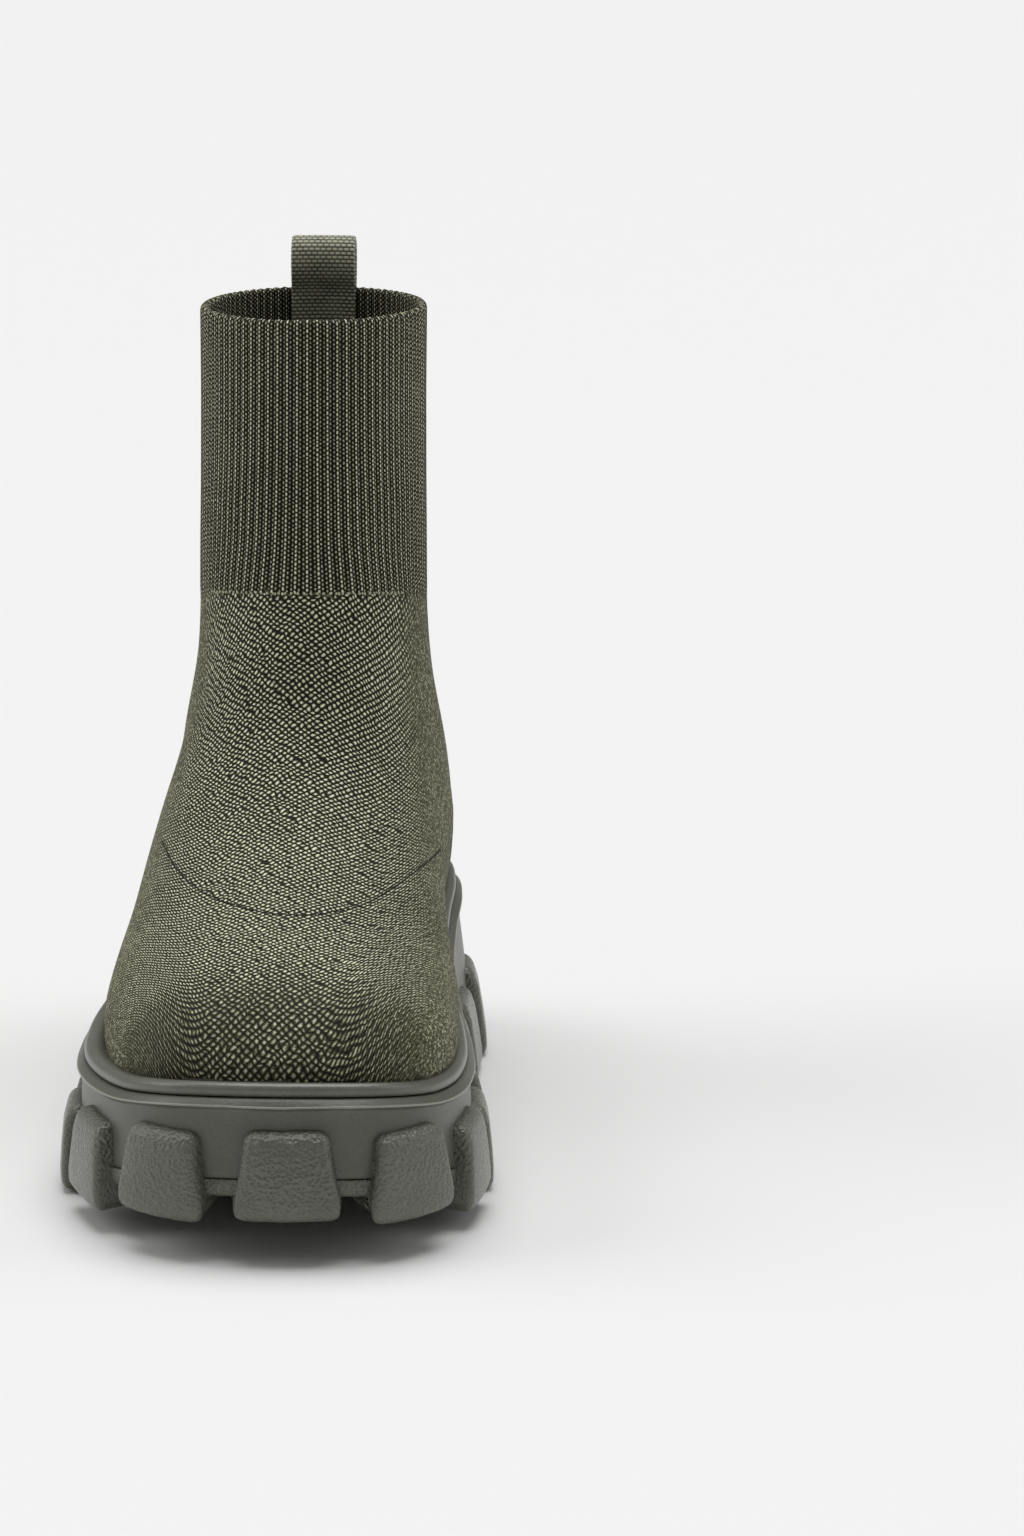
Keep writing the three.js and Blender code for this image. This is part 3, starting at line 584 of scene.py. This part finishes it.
BITE = 0.8  # where the knit ends, above the seat and behind the rand
TOE_PIVOT = -188.0
BALL_LINE = -140.0
ANKLE_PIVOT = (-140.0, 150.0)  # y and height above the seat
TOE_ROWS, ANKLE_ROWS = 14, 66
ANKLE_REACH = 128.0  # middle of the closed rows: the sections fan round this point
RIB_COUNT = 84  # 2.9 mm each round the collar
COLUMNS = RIB_COUNT * 5
RIB_DEPTH = 0.42
RIB_BEAD = 1.3  # one bead of a rib, up
RIB_END = 141.0  # height of the last row of ribs over the ankle
RIB_SLANT = 0.15
TOE_KNIT = (24.0, 52.0)  # the toe's knit gives way to the foot's here, up the front from its edge
SIDE_KNIT = (26.0, 58.0)  # the ordered knots give way to loose ones here, out from the front line
RAY_START = 230.0
CAST_POINTS, COARSE_POINTS = 361, 120  # in one row: rays, and even steps after them
ROW_BLUR, COLUMN_BLUR = 2.2, 1.3


def seat_drop(y, rise):
    """Height that a rise is counted from: the seat low down, the heel's level up the leg."""
    level = smoothstep(rise, 20.0, 100.0)
    return seat_at(y) * (1 - level) + HEEL_SEAT * level


def to_rise(y, z):
    """The rise of a height, found in steps because the drop follows the rise."""
    rise = z - seat_at(y)
    for _ in range(30):
        rise = z - seat_drop(y, rise)
    return rise


def upper_tree():
    """The solid of the upper with heights counted from the seat, ready for rays."""
    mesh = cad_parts["upper"].data
    points = np.empty(len(mesh.vertices) * 3)
    mesh.vertices.foreach_get("co", points)
    points = points.reshape(-1, 3) / MM
    points[:, 2] = to_rise(points[:, 1], points[:, 2])
    faces = [tuple(p.vertices) for p in mesh.polygons]
    return BVHTree.FromPolygons([Vector(p) for p in points], faces)


def knit_sections():
    """(middle y, middle rise, direction y, direction rise, closed) of each row, toe to collar."""
    rows = []
    for angle in np.linspace(0, math.pi / 2, TOE_ROWS + 1):
        rows.append((TOE_PIVOT, BITE, -math.cos(angle), math.sin(angle), False))
    for y in np.linspace(TOE_PIVOT, BALL_LINE, 13)[1:]:
        rows.append((y, BITE, 0.0, 1.0, False))
    drop = ANKLE_PIVOT[1] - BITE
    heel_angle = math.atan2(HEEL_BACK - INSET_HEEL - 0.6 - ANKLE_PIVOT[0], drop)
    for angle in np.linspace(0, math.pi / 2, ANKLE_ROWS + 1)[1:]:
        away = (math.sin(angle), -math.cos(angle))
        open_row = angle <= heel_angle
        reach = drop / math.cos(angle) if open_row else ANKLE_REACH
        rows.append((ANKLE_PIVOT[0] + reach * away[0], ANKLE_PIVOT[1] + reach * away[1],
                     -away[0], -away[1], not open_row))
    for rise in np.linspace(ANKLE_PIVOT[1], LEG_HEIGHT - 1.5, 9)[1:]:
        rows.append((-6.0, rise, -1.0, 0.0, True))
    return rows


def cast_row(tree, row, count):
    """Points on the upper's outside in one section, lateral end to medial end over the front."""
    y, rise, way_y, way_rise, closed = row
    limit = math.pi if closed else math.pi / 2
    middle = Vector((0.0, y, rise))
    points = []
    for angle in np.linspace(-limit, limit, count):
        way = Vector((math.sin(angle), math.cos(angle) * way_y, math.cos(angle) * way_rise))
        hit = tree.ray_cast(middle + way * RAY_START, -way, RAY_START)[0]
        if hit is None:
            hit = middle
        points.append(tuple(hit))
    return np.array(points)


def spread_row(points, count, middle):
    """The row with even steps on each side of its front point."""
    distance = walk(points)
    front = distance[middle]
    half = count // 2
    stops = np.concatenate([
        np.linspace(0, front, half + 1), np.linspace(front, distance[-1], half + 1)[1:]])
    return np.stack([np.interp(stops, distance, points[:, n]) for n in range(3)], axis=1)


def soften(values, sigma, closed):
    """A Gaussian along the first axis that keeps the size: twice the blur less its own blur."""
    reach = int(math.ceil(3 * sigma))
    kernel = np.exp(-0.5 * (np.arange(-reach, reach + 1) / sigma) ** 2)
    kernel /= kernel.sum()

    def blur(v):
        if closed:
            body = v[:-1]
            padded = np.concatenate([body[-reach:], body, body[:reach + 1]])
        else:
            before = 2 * v[0] - v[1:reach + 1][::-1]
            after = 2 * v[-1] - v[-reach - 1:-1][::-1]
            padded = np.concatenate([before, v, after])
        return sum(k * padded[n:n + len(v)] for n, k in enumerate(kernel))
    once = blur(values)
    return 2 * once - blur(once)


def cubic_rows(points, count, closed):
    """More points along a row, on a smooth curve through the coarse ones."""
    size = len(points)
    padded = np.vstack([points[-2] if closed else 2 * points[0] - points[1], points,
                        points[1] if closed else 2 * points[-1] - points[-2]])
    k = np.linspace(0, size - 1, count)
    i = np.minimum(k.astype(int), size - 2)
    t = (k - i)[:, None]
    a, b, c, d = padded[i], padded[i + 1], padded[i + 2], padded[i + 3]
    return b + 0.5 * t * (c - a + t * (2 * a - 5 * b + 4 * c - d + t * (3 * (b - c) + d - a)))


def knit_surface():
    """The smooth outside of the upper as a grid of rows and columns, with its normals."""
    tree = upper_tree()
    rows = knit_sections()
    closed = np.array([row[4] for row in rows])
    grid = np.array([spread_row(cast_row(tree, row, CAST_POINTS), COARSE_POINTS, CAST_POINTS // 2)
                     for row in rows])
    for n in range(len(rows)):
        grid[n] = soften(grid[n], ROW_BLUR, closed[n])
        if closed[n]:
            grid[n, -1] = grid[n, 0] = (grid[n, -1] + grid[n, 0]) / 2
    smooth = soften(grid, COLUMN_BLUR, False)
    # The lower edge stays on the bite line.
    grid[:, 1:-1] = smooth[:, 1:-1]
    grid[closed, 0] = smooth[closed, 0]
    grid[closed, -1] = smooth[closed, 0]
    fine = np.array([cubic_rows(grid[n], COLUMNS + 1, closed[n]) for n in range(len(rows))])
    fine[..., 2] = fine[..., 2] + seat_drop(fine[..., 1], fine[..., 2])
    across = np.gradient(fine, axis=1)
    wrap = (fine[closed, 1] - fine[closed, -2]) / 2
    across[closed, 0] = wrap
    across[closed, -1] = wrap
    up = np.gradient(fine, axis=0)
    normals = np.cross(across, up)
    size = np.linalg.norm(normals, axis=2, keepdims=True)
    # Where the toe's rows start and end, the steps are too small, and the normal is level.
    flat = np.zeros_like(normals)
    flat[..., 0] = np.sign(fine[..., 0] + 1e-9)
    normals = np.where(size > 1e-5, normals / np.maximum(size, 1e-9), flat)
    return fine, normals, closed


SURFACE = knit_surface()


def rib_end_at(y):
    """Height of the last row of ribs: it slants down a little from the shin to the heel."""
    return RIB_END - RIB_SLANT * np.asarray(y, float)


def stitch_places(outside):
    """Stitch columns and rows at the grid's points, and their ways across and up the front."""
    front = COLUMNS // 2
    steps = np.linalg.norm(np.diff(outside, axis=0), axis=2)
    front_steps = steps[:, front]
    sideways = np.linalg.norm(np.diff(outside, axis=1), axis=2)
    across = np.concatenate([np.zeros((len(outside), 1)), np.cumsum(sideways, axis=1)], axis=1)
    across = across - across[:, front:front + 1]
    # Stitch rows keep to the grid's rows over the foot and spread out towards the heel.
    even = 1 - 0.5 * smoothstep(np.abs(across[1:]), 28, 90)
    row_steps = steps * (1 - even) + front_steps[:, None] * even
    up_front = np.concatenate([[0], np.cumsum(front_steps)])
    # Two knots in mm, across and up: wider at the toe and closer over the foot.
    wide = np.interp(up_front, [0, *TOE_KNIT, 400], [2.6, 2.6, 2.55, 2.6])
    tall = np.interp(up_front, [0, *TOE_KNIT, 125, 165, 195, 400],
                     [2.6, 2.6, 2.3, 2.2, 2.0, 1.85, 1.85])
    rows_up = np.cumsum(row_steps / ((tall[1:] + tall[:-1]) / 2)[:, None], axis=0)
    rows_up = np.vstack([np.zeros((1, outside.shape[1])), rows_up])
    return across / wide[:, None], rows_up - rows_up[-1:], across, up_front


def knit_upper():
    """The knit with its ribs, its rolled rim and its inside, closed all round."""
    outside, normals, closed = SURFACE
    rows, columns = outside.shape[:2]
    stitch_u, stitch_v, across, up_front = stitch_places(outside)
    rib_u = np.broadcast_to(np.arange(columns) * RIB_COUNT / COLUMNS, (rows, columns))
    over_ribs = outside[..., 2] - rib_end_at(outside[..., 1])
    toe_row = 1 - smoothstep(up_front, *TOE_KNIT)
    # A fifth of the loose knots shows in front too, so that the rows there aren't too even.
    zones = {"rib_zone": smoothstep(over_ribs, -0.6, 0.6),
             "toe_zone": np.broadcast_to(toe_row[:, None], (rows, columns)),
             "side_zone": 0.2 + 0.8 * smoothstep(np.abs(across), *SIDE_KNIT)}

    # Ribs stand out as rounded ridges.
    ridge = 0.5 - 0.5 * np.cos(2 * np.pi * rib_u)
    fade = smoothstep(over_ribs, -2.5, 1.5)
    lift = RIB_DEPTH * (ridge ** 0.8 - 0.5) * fade
    wall = KNIT_WALL - 0.2
    outer = outside + normals * lift[..., None]
    inner = outside - normals * (wall + 0.6 * lift[..., None])

    # Rim: half a circle from the outside over to the inside.
    top = outside[-1]
    top_out = normals[-1].copy()
    top_out[:, 2] = 0
    top_out /= np.linalg.norm(top_out, axis=1, keepdims=True)
    rim = []
    for angle in np.linspace(0, math.pi, 7)[1:-1]:
        swell = 1 + 0.25 * (ridge[-1] - 0.5)
        out = -wall / 2 + (wall / 2) * math.cos(angle) + lift[-1] * math.cos(angle)
        rise = (wall / 2) * math.sin(angle) * swell
        rim.append(top + top_out * out[:, None] + np.array([0, 0, 1.0]) * rise[:, None])
    rim = np.array(rim)
    layers = np.vstack([outer, rim, inner[::-1]])
    count = len(layers)
    index = np.arange(count * columns).reshape(count, columns)
    quads = np.stack([index[:-1, :-1], index[:-1, 1:], index[1:, 1:], index[1:, :-1]], axis=-1)
    quads = quads.reshape(-1, 4).tolist()
    far = count - 1 - np.arange(rows)
    for n in range(rows - 1):
        if closed[n] and closed[n + 1]:
            continue
        for edge, turn in ((0, 1), (columns - 1, -1)):
            quads.append([index[n, edge], index[n + 1, edge],
                          index[far[n + 1], edge], index[far[n], edge]][::turn])
    for j in range(columns - 1):
        quads.append([index[0, j + 1], index[0, j], index[far[0], j], index[far[0], j + 1]])

    def through(values):
        """Values of the outside, carried over the rim to the inside."""
        return np.vstack([values, np.repeat(values[-1:], len(rim), axis=0), values[::-1]])
    stitches = np.stack([through(stitch_u), through(stitch_v)], axis=-1).reshape(-1, 2)
    ribs = np.stack([through(rib_u), layers[..., 2] / RIB_BEAD], axis=-1).reshape(-1, 2)
    return new_piece("knit_upper", layers.reshape(-1, 3), quads, KNIT,
                     {"stitches": stitches, "ribs": ribs},
                     {label: through(zone).ravel() for label, zone in zones.items()})


upper = knit_upper()
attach(upper, "root")
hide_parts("upper")

# ---- rand, midsole and insole

def rand_bead():
    """A soft bead round the foot: half round outside, flat where it meets the knit."""
    back = -RAND_WIDTH - 2.2
    corners = [(back, -0.02), (-0.9, -0.05)]
    corners += [(-0.8 + 0.8 * math.cos(a), 0.36 + 0.38 * math.sin(a))
                for a in np.radians(np.linspace(-80, 0, 6))]
    corners += [(-2.3 + 2.3 * math.cos(a), 0.36 + 0.64 * math.sin(a))
                for a in np.radians(np.linspace(12, 90, 8))]
    rings = [sole_ring(lambda y, out=out: out + RAND_WIDTH - toe_heel(INSET_TOE, INSET_HEEL, y),
                       lambda y, rise=rise: seat_at(y) + GAP + rise * RAND_HEIGHT)
             for out, rise in corners + [(back, 0.98)]]
    return sole_body("rand_bead", rings, RAND_RUBBER, joined=True)


def midsole_wall():
    """The wall with its rounded lip, a bevel on top of it and the bed inside."""
    foot = lambda y: plate_top(y) + 0.08
    rings = [sole_ring(-0.5, foot, 1), sole_ring(0, lambda y: foot(y) + 0.4, 1)]
    for share in np.linspace(0, 1, 9)[1:-1]:
        height = lambda y, share=share: foot(y) * (1 - share) + (seat_at(y) - FLANGE_HEIGHT) * share
        rings.append(sole_ring(0, height, 1 - share))
    for out, drop in [(0.02, 4.2), (0.1, 3.6), (0.5, 3.1), (1.1, 2.85), (1.4, 2.6), (1.45, 2.35),
                      (1.3, 2.15), (0.9, 1.7), (0.3, 1.0), (-0.2, 0.5), (-0.7, 0.2),
                      (-SEAT_INSET - 0.8, 0.0)]:
        rings.append(sole_ring(out, lambda y, drop=drop: seat_at(y) - drop))
    return sole_body("midsole_wall", rings, MIDSOLE_RUBBER)


EDGE_OUT, EDGE_DROP, EDGE_RADIUS = 1.25, 2.4, 0.32


def flange_edge():
    """A fine round line along the lip's edge, in lighter rubber: a painted highlight."""
    rings = [sole_ring(EDGE_OUT + EDGE_RADIUS * math.cos(a),
                       lambda y, a=a: seat_at(y) - EDGE_DROP + EDGE_RADIUS * math.sin(a))
             for a in np.radians(np.arange(0, 360, 45))]
    return sole_body("flange_edge", rings, EDGE_HIGHLIGHT_RUBBER, joined=True)


def insole_bed():
    rings = [sole_ring(-SEAT_INSET + out, lambda y, rise=rise: seat_at(y) + rise)
             for out, rise in ((-6.0, GAP), (-5.2, GAP + 0.8), (-5.2, INSOLE_THICKNESS - 0.6),
                               (-5.8, INSOLE_THICKNESS + GAP))]
    return sole_body("insole_bed", rings, LINING)


for piece, node, finish in ((rand_bead(), "rand", "rand_rubber"),
                            (midsole_wall(), "midsole", "midsole_rubber"),
                            (insole_bed(), "insole", "insole_lining")):
    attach(piece, "root")
    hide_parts(node)

edge = flange_edge()
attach(edge, "root")

# ---- outsole

def lug_cage(side, middle):
    """One lug as profiles in a row along the edge."""
    length = MEDIAL_LENGTH if side > 0 else LATERAL_LENGTH
    round_share = lambda share: share if side > 0 else 2 - share
    centre = edge_place(round_share(middle))
    foot = float(tread_at(centre[1]))
    heelward = float(np.clip(1 - sole_along(centre[1]) / 0.45, 0, 1))
    height = LUG_HEIGHT_TOE + (LUG_HEIGHT_HEEL - LUG_HEIGHT_TOE) * heelward
    proud = float(toe_heel(LUG_PROUD_TOE, LUG_PROUD_HEEL, centre[1]))
    flare = float(toe_heel(FLARE_TOE, FLARE_HEEL, centre[1]))
    back = (TREAD_DEPTH + 1) / height
    # way out from the wall, share of the height, share of the width
    profile = [(-LUG_REACH, 0, 0.42), (-2.0, 0, 0.85), (proud - 0.3, 0, 1.0),
               (proud, 0.24, 0.965), (proud - 0.3, 0.5, 0.88), (proud - 0.8, 0.76, 0.815),
               (proud - 2.2, 1, 0.77), (-4, 1, 0.77), (-4, back + 0.02, 0.93),
               (-LUG_REACH, back, 0.42)]
    ends = edge_place([round_share(middle + s * LUG_WIDTH / 2 / length) for s in (1, -1)],
                      [proud + flare] * 2)
    spread = np.linalg.norm(ends[0] - ends[1]) / LUG_WIDTH
    columns = [-1, -0.5, 0, 0.5, 1]
    points = []
    for column in columns:
        for out, rise, wide in profile:
            half = LUG_WIDTH / 2 / spread * wide
            flat = edge_place(round_share(middle + column * half / length),
                              out + flare * (1 - 0.6 * rise))
            points.append((flat[0], flat[1], foot + rise * height))
    return points, tube_faces(len(columns), len(profile))


def pad_cage(centre_y):
    """One block of the middle of the tread, following the tread's line under the plate."""
    share = sole_along(centre_y)
    medial, lateral = (table_curve(SOLE_OUTLINE, column)(share) for column in (1, 2))
    centre_x = BALL_WIDTH / 2 * float(medial - lateral)
    points = []
    for y in np.linspace(centre_y + PAD_LENGTH / 2, centre_y - PAD_LENGTH / 2, 5):
        foot, top = float(tread_at(y)), float(plate_bottom(y)) + 4
        points += [(centre_x + x * PAD_WIDTH / 2, y, z)
                   for x, z in ((-1, foot), (1, foot), (1, top), (-1, top))]
    return points, tube_faces(5, 4)


LUG_ROUNDING = 3.0
PLATE_EDGE = 0.7  # the plate stands out past the wall's foot


def outsole_tread():
    """The plate, the side lugs with rounded edges, and the blocks down the middle."""
    cages = [lug_cage(1, 1.0), lug_cage(1, 0.0)]
    cages += [lug_cage(side, place) for place in LUG_PLACES for side in (1, -1)]
    cages += [pad_cage(-n * PAD_PITCH) for n in range(PAD_COUNT)]
    points, faces = [], []
    for cage_points, cage_faces in cages:
        start = len(points)
        points += cage_points
        faces += [tuple(start + i for i in face) for face in cage_faces]
    lugs = new_piece("outsole_lugs", points, faces, OUTSOLE_RUBBER)
    bevel = lugs.modifiers.new("rounding", "BEVEL")
    bevel.width = LUG_ROUNDING * MM
    bevel.segments = 5
    bevel.use_clamp_overlap = False
    bevel.limit_method = "ANGLE"
    bevel.angle_limit = math.radians(40)
    lugs.modifiers.new("shading", "WEIGHTED_NORMAL")
    apply_modifiers(lugs)
    rings = [sole_ring(PLATE_EDGE + out, lambda y, face=face, rise=rise: face(y) + rise, 1)
             for out, face, rise in (
                 (-1.4, plate_bottom, 0), (-0.5, plate_bottom, 0.25), (0, plate_bottom, 1),
                 (0, plate_top, -0.6), (-0.3, plate_top, -0.1), (-0.9, plate_top, 0))]
    plate = sole_body("outsole_plate", rings, OUTSOLE_RUBBER)
    return lugs, plate


lugs, plate = outsole_tread()
for piece in (lugs, plate):
    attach(piece, "root")
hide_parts("outsole")

# ---- pull loop

WEBBING_YARN = 1.15  # one row of the webbing, drawn a little coarse so that it shows
STRAP_INNER = -(KNIT_WALL + GAP + LOOP_THICKNESS / 2)
STRAP_OUTER = GAP + 0.3 + LOOP_THICKNESS / 2  # it clears the ribs


def cuff_back(x, z):
    """The y of the cuff's back face at a place across and a height."""
    rise = np.minimum((z - HEEL_SEAT) / LEG_HEIGHT, 1)
    front = -table_curve(CUFF_LINE, 1)(rise) * LEG_DEPTH
    back = table_curve(CUFF_LINE, 2)(rise) * LEG_DEPTH
    half = table_curve(CUFF_LINE, 3)(rise) * LEG_WIDTH
    return (front + back) / 2 + ((back - front) / 2) * np.sqrt(1 - (x / half) ** 2)


def pull_loop():
    """The strap: from inside the collar, over in a drop-shaped loop, and down the outside."""
    collar = HEEL_SEAT + LEG_HEIGHT
    inner, outer = STRAP_INNER, STRAP_OUTER
    centre = (inner + outer) / 2
    half = (LOOP_GAP + LOOP_THICKNESS) / 2
    crest = LOOP_RISE - LOOP_THICKNESS / 2
    path = np.array([
        [inner, -LOOP_INSIDE], [inner, -LOOP_INSIDE / 2], [inner, 0],
        [centre - half * 0.92, crest * 0.28], [centre - half, crest * 0.55],
        [centre - half * 0.7, crest * 0.86], [centre, crest], [centre + half * 0.7, crest * 0.86],
        [centre + half, crest * 0.55], [centre + half * 0.92, crest * 0.28],
        [outer, 0], [outer, -LOOP_OUTSIDE / 2], [outer, -LOOP_OUTSIDE]])
    line = catmull(path, 12)
    way = np.gradient(line, axis=0)
    way /= np.linalg.norm(way, axis=1, keepdims=True)
    lengthwise = walk(line)
    # Section across the strap: flat faces with round edges.
    section = []
    round_edge = LOOP_THICKNESS / 2
    for x in np.linspace(-LOOP_WIDTH / 2 + round_edge, LOOP_WIDTH / 2 - round_edge, 15):
        section.append((x, 1.0))
    for angle in np.radians([60, 30, 0, -30, -60]):
        section.append((LOOP_WIDTH / 2 - round_edge + round_edge * math.cos(angle),
                        math.sin(angle)))
    section += [(-x, -face) for x, face in section]
    points, uv = [], []
    for (offset, height), (way_out, way_up), length in zip(line, way, lengthwise):
        hug = 1 - 0.6 * np.clip(height / LOOP_RISE, 0, 1)
        z = collar + height
        for x, face in section:
            sag = (cuff_back(0, z) - cuff_back(x, z)) * hug
            out = face * LOOP_THICKNESS / 2
            points.append((x, cuff_back(0, z) - sag + offset - way_up * out, z + way_out * out))
            uv.append((x / WEBBING_YARN, length / WEBBING_YARN))
    return new_piece("pull_loop_strap", points, tube_faces(len(line), len(section)), WEBBING,
                     {"weave": uv})


def stitch_tree(name):
    """Short stitches along a line of points: one grain of yarn, copied and turned with the line."""
    tree = bpy.data.node_groups.new(name, "GeometryNodeTree")
    for label, kind in (("Line", "Geometry"), ("Spacing", "Float"), ("Length", "Float"),
                        ("Width", "Float"), ("Height", "Float"), ("Material", "Material")):
        tree.interface.new_socket(name=label, in_out="INPUT", socket_type="NodeSocket" + kind)
    tree.interface.new_socket(
        name="Stitches", in_out="OUTPUT", socket_type="NodeSocketGeometry")
    given = add(tree, "NodeGroupInput").outputs
    curve = add(tree, "GeometryNodeMeshToCurve", {"Mesh": given["Line"]}).outputs[0]
    spaced = add(tree, "GeometryNodeResampleCurve", {
        "Curve": curve, "Length": given["Spacing"]}, mode="LENGTH").outputs[0]
    tangent = add(tree, "GeometryNodeInputTangent").outputs[0]
    turn = add(tree, "FunctionNodeAlignRotationToVector", {
        "Vector": tangent}, axis="X").outputs[0]
    size = add(tree, "ShaderNodeCombineXYZ", {
        0: given["Length"], 1: given["Width"], 2: given["Height"]}).outputs[0]
    grain = add(tree, "GeometryNodeMeshUVSphere", {
        "Segments": 10, "Rings": 6, "Radius": 0.5}).outputs[0]
    copies = add(tree, "GeometryNodeInstanceOnPoints", {
        "Points": spaced, "Instance": grain, "Rotation": turn, "Scale": size}).outputs[0]
    real = add(tree, "GeometryNodeRealizeInstances", {0: copies}).outputs[0]
    smooth = add(tree, "GeometryNodeSetShadeSmooth", {0: real}).outputs[0]
    finished = add(tree, "GeometryNodeSetMaterial", {
        0: smooth, "Material": given["Material"]}).outputs[0]
    add(tree, "NodeGroupOutput", {0: finished})
    return tree


STITCHES = stitch_tree("stitches_along_a_line")


def stitch_line(name, line, material, spacing, length, width, height):
    """A row of stitches along points in millimetres."""
    mesh = bpy.data.meshes.new(name)
    edges = [(n, n + 1) for n in range(len(line) - 1)]
    mesh.from_pydata((np.asarray(line) * MM).tolist(), edges, [])
    piece = linked(name, mesh)
    modifier = piece.modifiers.new("stitches", "NODES")
    modifier.node_group = STITCHES
    values = {"Spacing": spacing * MM, "Length": length * MM, "Width": width * MM,
              "Height": height * MM, "Material": material}
    for socket in STITCHES.interface.items_tree:
        if socket.item_type == "SOCKET" and socket.name in values:
            modifier[socket.identifier] = values[socket.name]
    apply_modifiers(piece)
    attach(piece, "root")
    return piece


def yarn_material(name, dark, light):
    """Twisted polyester sewing thread or yarn: matt, with fine fibres across it."""
    material, tree, shader = new_material(name)
    place = add(tree, "ShaderNodeTexCoord").outputs["Object"]
    fibre = add(tree, "ShaderNodeTexNoise", {
        "Vector": place, "Scale": 1000 / 0.25, "Detail": 3.0, "Roughness": 0.6}).outputs[0]
    cloud = add(tree, "ShaderNodeTexNoise", {
        "Vector": place, "Scale": 400.0, "Detail": 1.0}).outputs[0]
    tone = work_out(tree, {"fibre": fibre, "cloud": cloud}, [
        ("part", "MULTIPLY", "fibre", 0.5), ("tone", "MULTIPLY_ADD", "cloud", 0.7, "part")])["tone"]
    colour = add(tree, "ShaderNodeMix", {
        "Factor": tone, 6: linear(dark), 7: linear(light)}, data_type="RGBA").outputs[2]
    finish_shader(tree, shader, colour, {
        "Height": fibre, "Distance": 0.12 * MM}, {"Roughness": 0.8})
    return material


DARK_YARN = yarn_material("dark_polyester_yarn", "#0f0e08", "#2c2b20")
LIGHT_YARN = yarn_material("light_polyester_yarn", "#75765f", "#cfcfb4")


def on_knit(points, lift):
    """Points moved to the knit's outside, then out by lift."""
    mesh = upper.data
    tree = BVHTree.FromPolygons(
        [v.co for v in mesh.vertices], [tuple(p.vertices) for p in mesh.polygons])
    placed = []
    for point in points:
        place, normal = tree.find_nearest(Vector(point) * MM)[:2]
        if normal.dot(Vector((point[0], point[1] + 20, 0))) < 0 and normal.z < 0.2:
            normal = -normal
        placed.append((place + normal * lift * MM) / MM)
    return np.array([tuple(p) for p in placed])


RIB_END_REACH = 28.0  # to both sides of the middle


def rib_end_line():
    """The line round the knit's outside where the ribs end, from the grid's columns."""
    grid, _, _ = SURFACE
    over = grid[..., 2] - rib_end_at(grid[..., 1])
    ring = []
    for j in range(grid.shape[1]):
        n = int(np.nonzero(over[:, j] <= 0)[0][-1])
        t = -over[n, j] / (over[n + 1, j] - over[n, j])
        ring.append(grid[n, j] * (1 - t) + grid[n + 1, j] * t)
    return np.array(ring)


# In front the last row of the ribs ends in a line of small bright knots.
rib_end = rib_end_line()
middle = rib_end.mean(axis=0)
in_front = (rib_end[:, 1] < middle[1]) & (np.abs(rib_end[:, 0]) < RIB_END_REACH)
rib_end = rib_end[in_front]
rib_end = rib_end[np.argsort(rib_end[:, 0])]
outwards = rib_end - middle
outwards[:, 2] = 0
outwards /= np.linalg.norm(outwards, axis=1, keepdims=True)
knots = stitch_line("rib_end_knots", rib_end - outwards * 0.05, LIGHT_YARN, 1.9, 0.9, 0.9, 0.9)

# A seam of dark stitches runs round the front of the foot from the instep's sides.
SEAM_POINTS = [
    (-38.3, -83.3, 81.1), (-31.8, -110.0, 79.6), (-22.8, -132.6, 78.4), (-11.6, -147.3, 77.7),
    (0.1, -154.4, 76.9), (9.7, -154.0, 76.6), (20.3, -146.5, 76.7), (28.8, -128.7, 77.2),
    (35.6, -101.8, 77.2), (40.7, -64.6, 75.3)]
seam = stitch_line("vamp_seam", on_knit(catmull(SEAM_POINTS, 16), 0.05), DARK_YARN,
                   2.3, 2.0, 0.65, 0.6)

STITCH_MARGIN = 1.6  # from the strap's edges to its stitches
STITCH_DROP, STITCH_RISE = 3.4, 3.5  # below the collar, and above the strap's lower end


def across_strap(offset, height):
    """A line across the strap at an offset from the cuff and a height from the collar."""
    end = LOOP_WIDTH / 2 - STITCH_MARGIN
    x = np.linspace(-end, end, 30)
    z = np.full(30, HEEL_SEAT + LEG_HEIGHT + height)
    return np.column_stack([x, cuff_back(x, z) + offset, z])


# Rows of stitches hold the strap to the collar, inside it, outside it and at the strap's end.
half_strap = LOOP_THICKNESS / 2 + 0.05
for name, offset, height in (
        ("strap_stitches_inside", STRAP_INNER - half_strap, -STITCH_DROP),
        ("strap_stitches_outside", STRAP_OUTER + half_strap, STITCH_RISE - LOOP_OUTSIDE),
        ("strap_stitches_collar", STRAP_OUTER + half_strap, -STITCH_DROP)):
    row = stitch_line(name, across_strap(offset, height), LIGHT_YARN, 2.1, 1.6, 0.6, 0.55)

strap = pull_loop()
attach(strap, "root")
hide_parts("pull_loop")
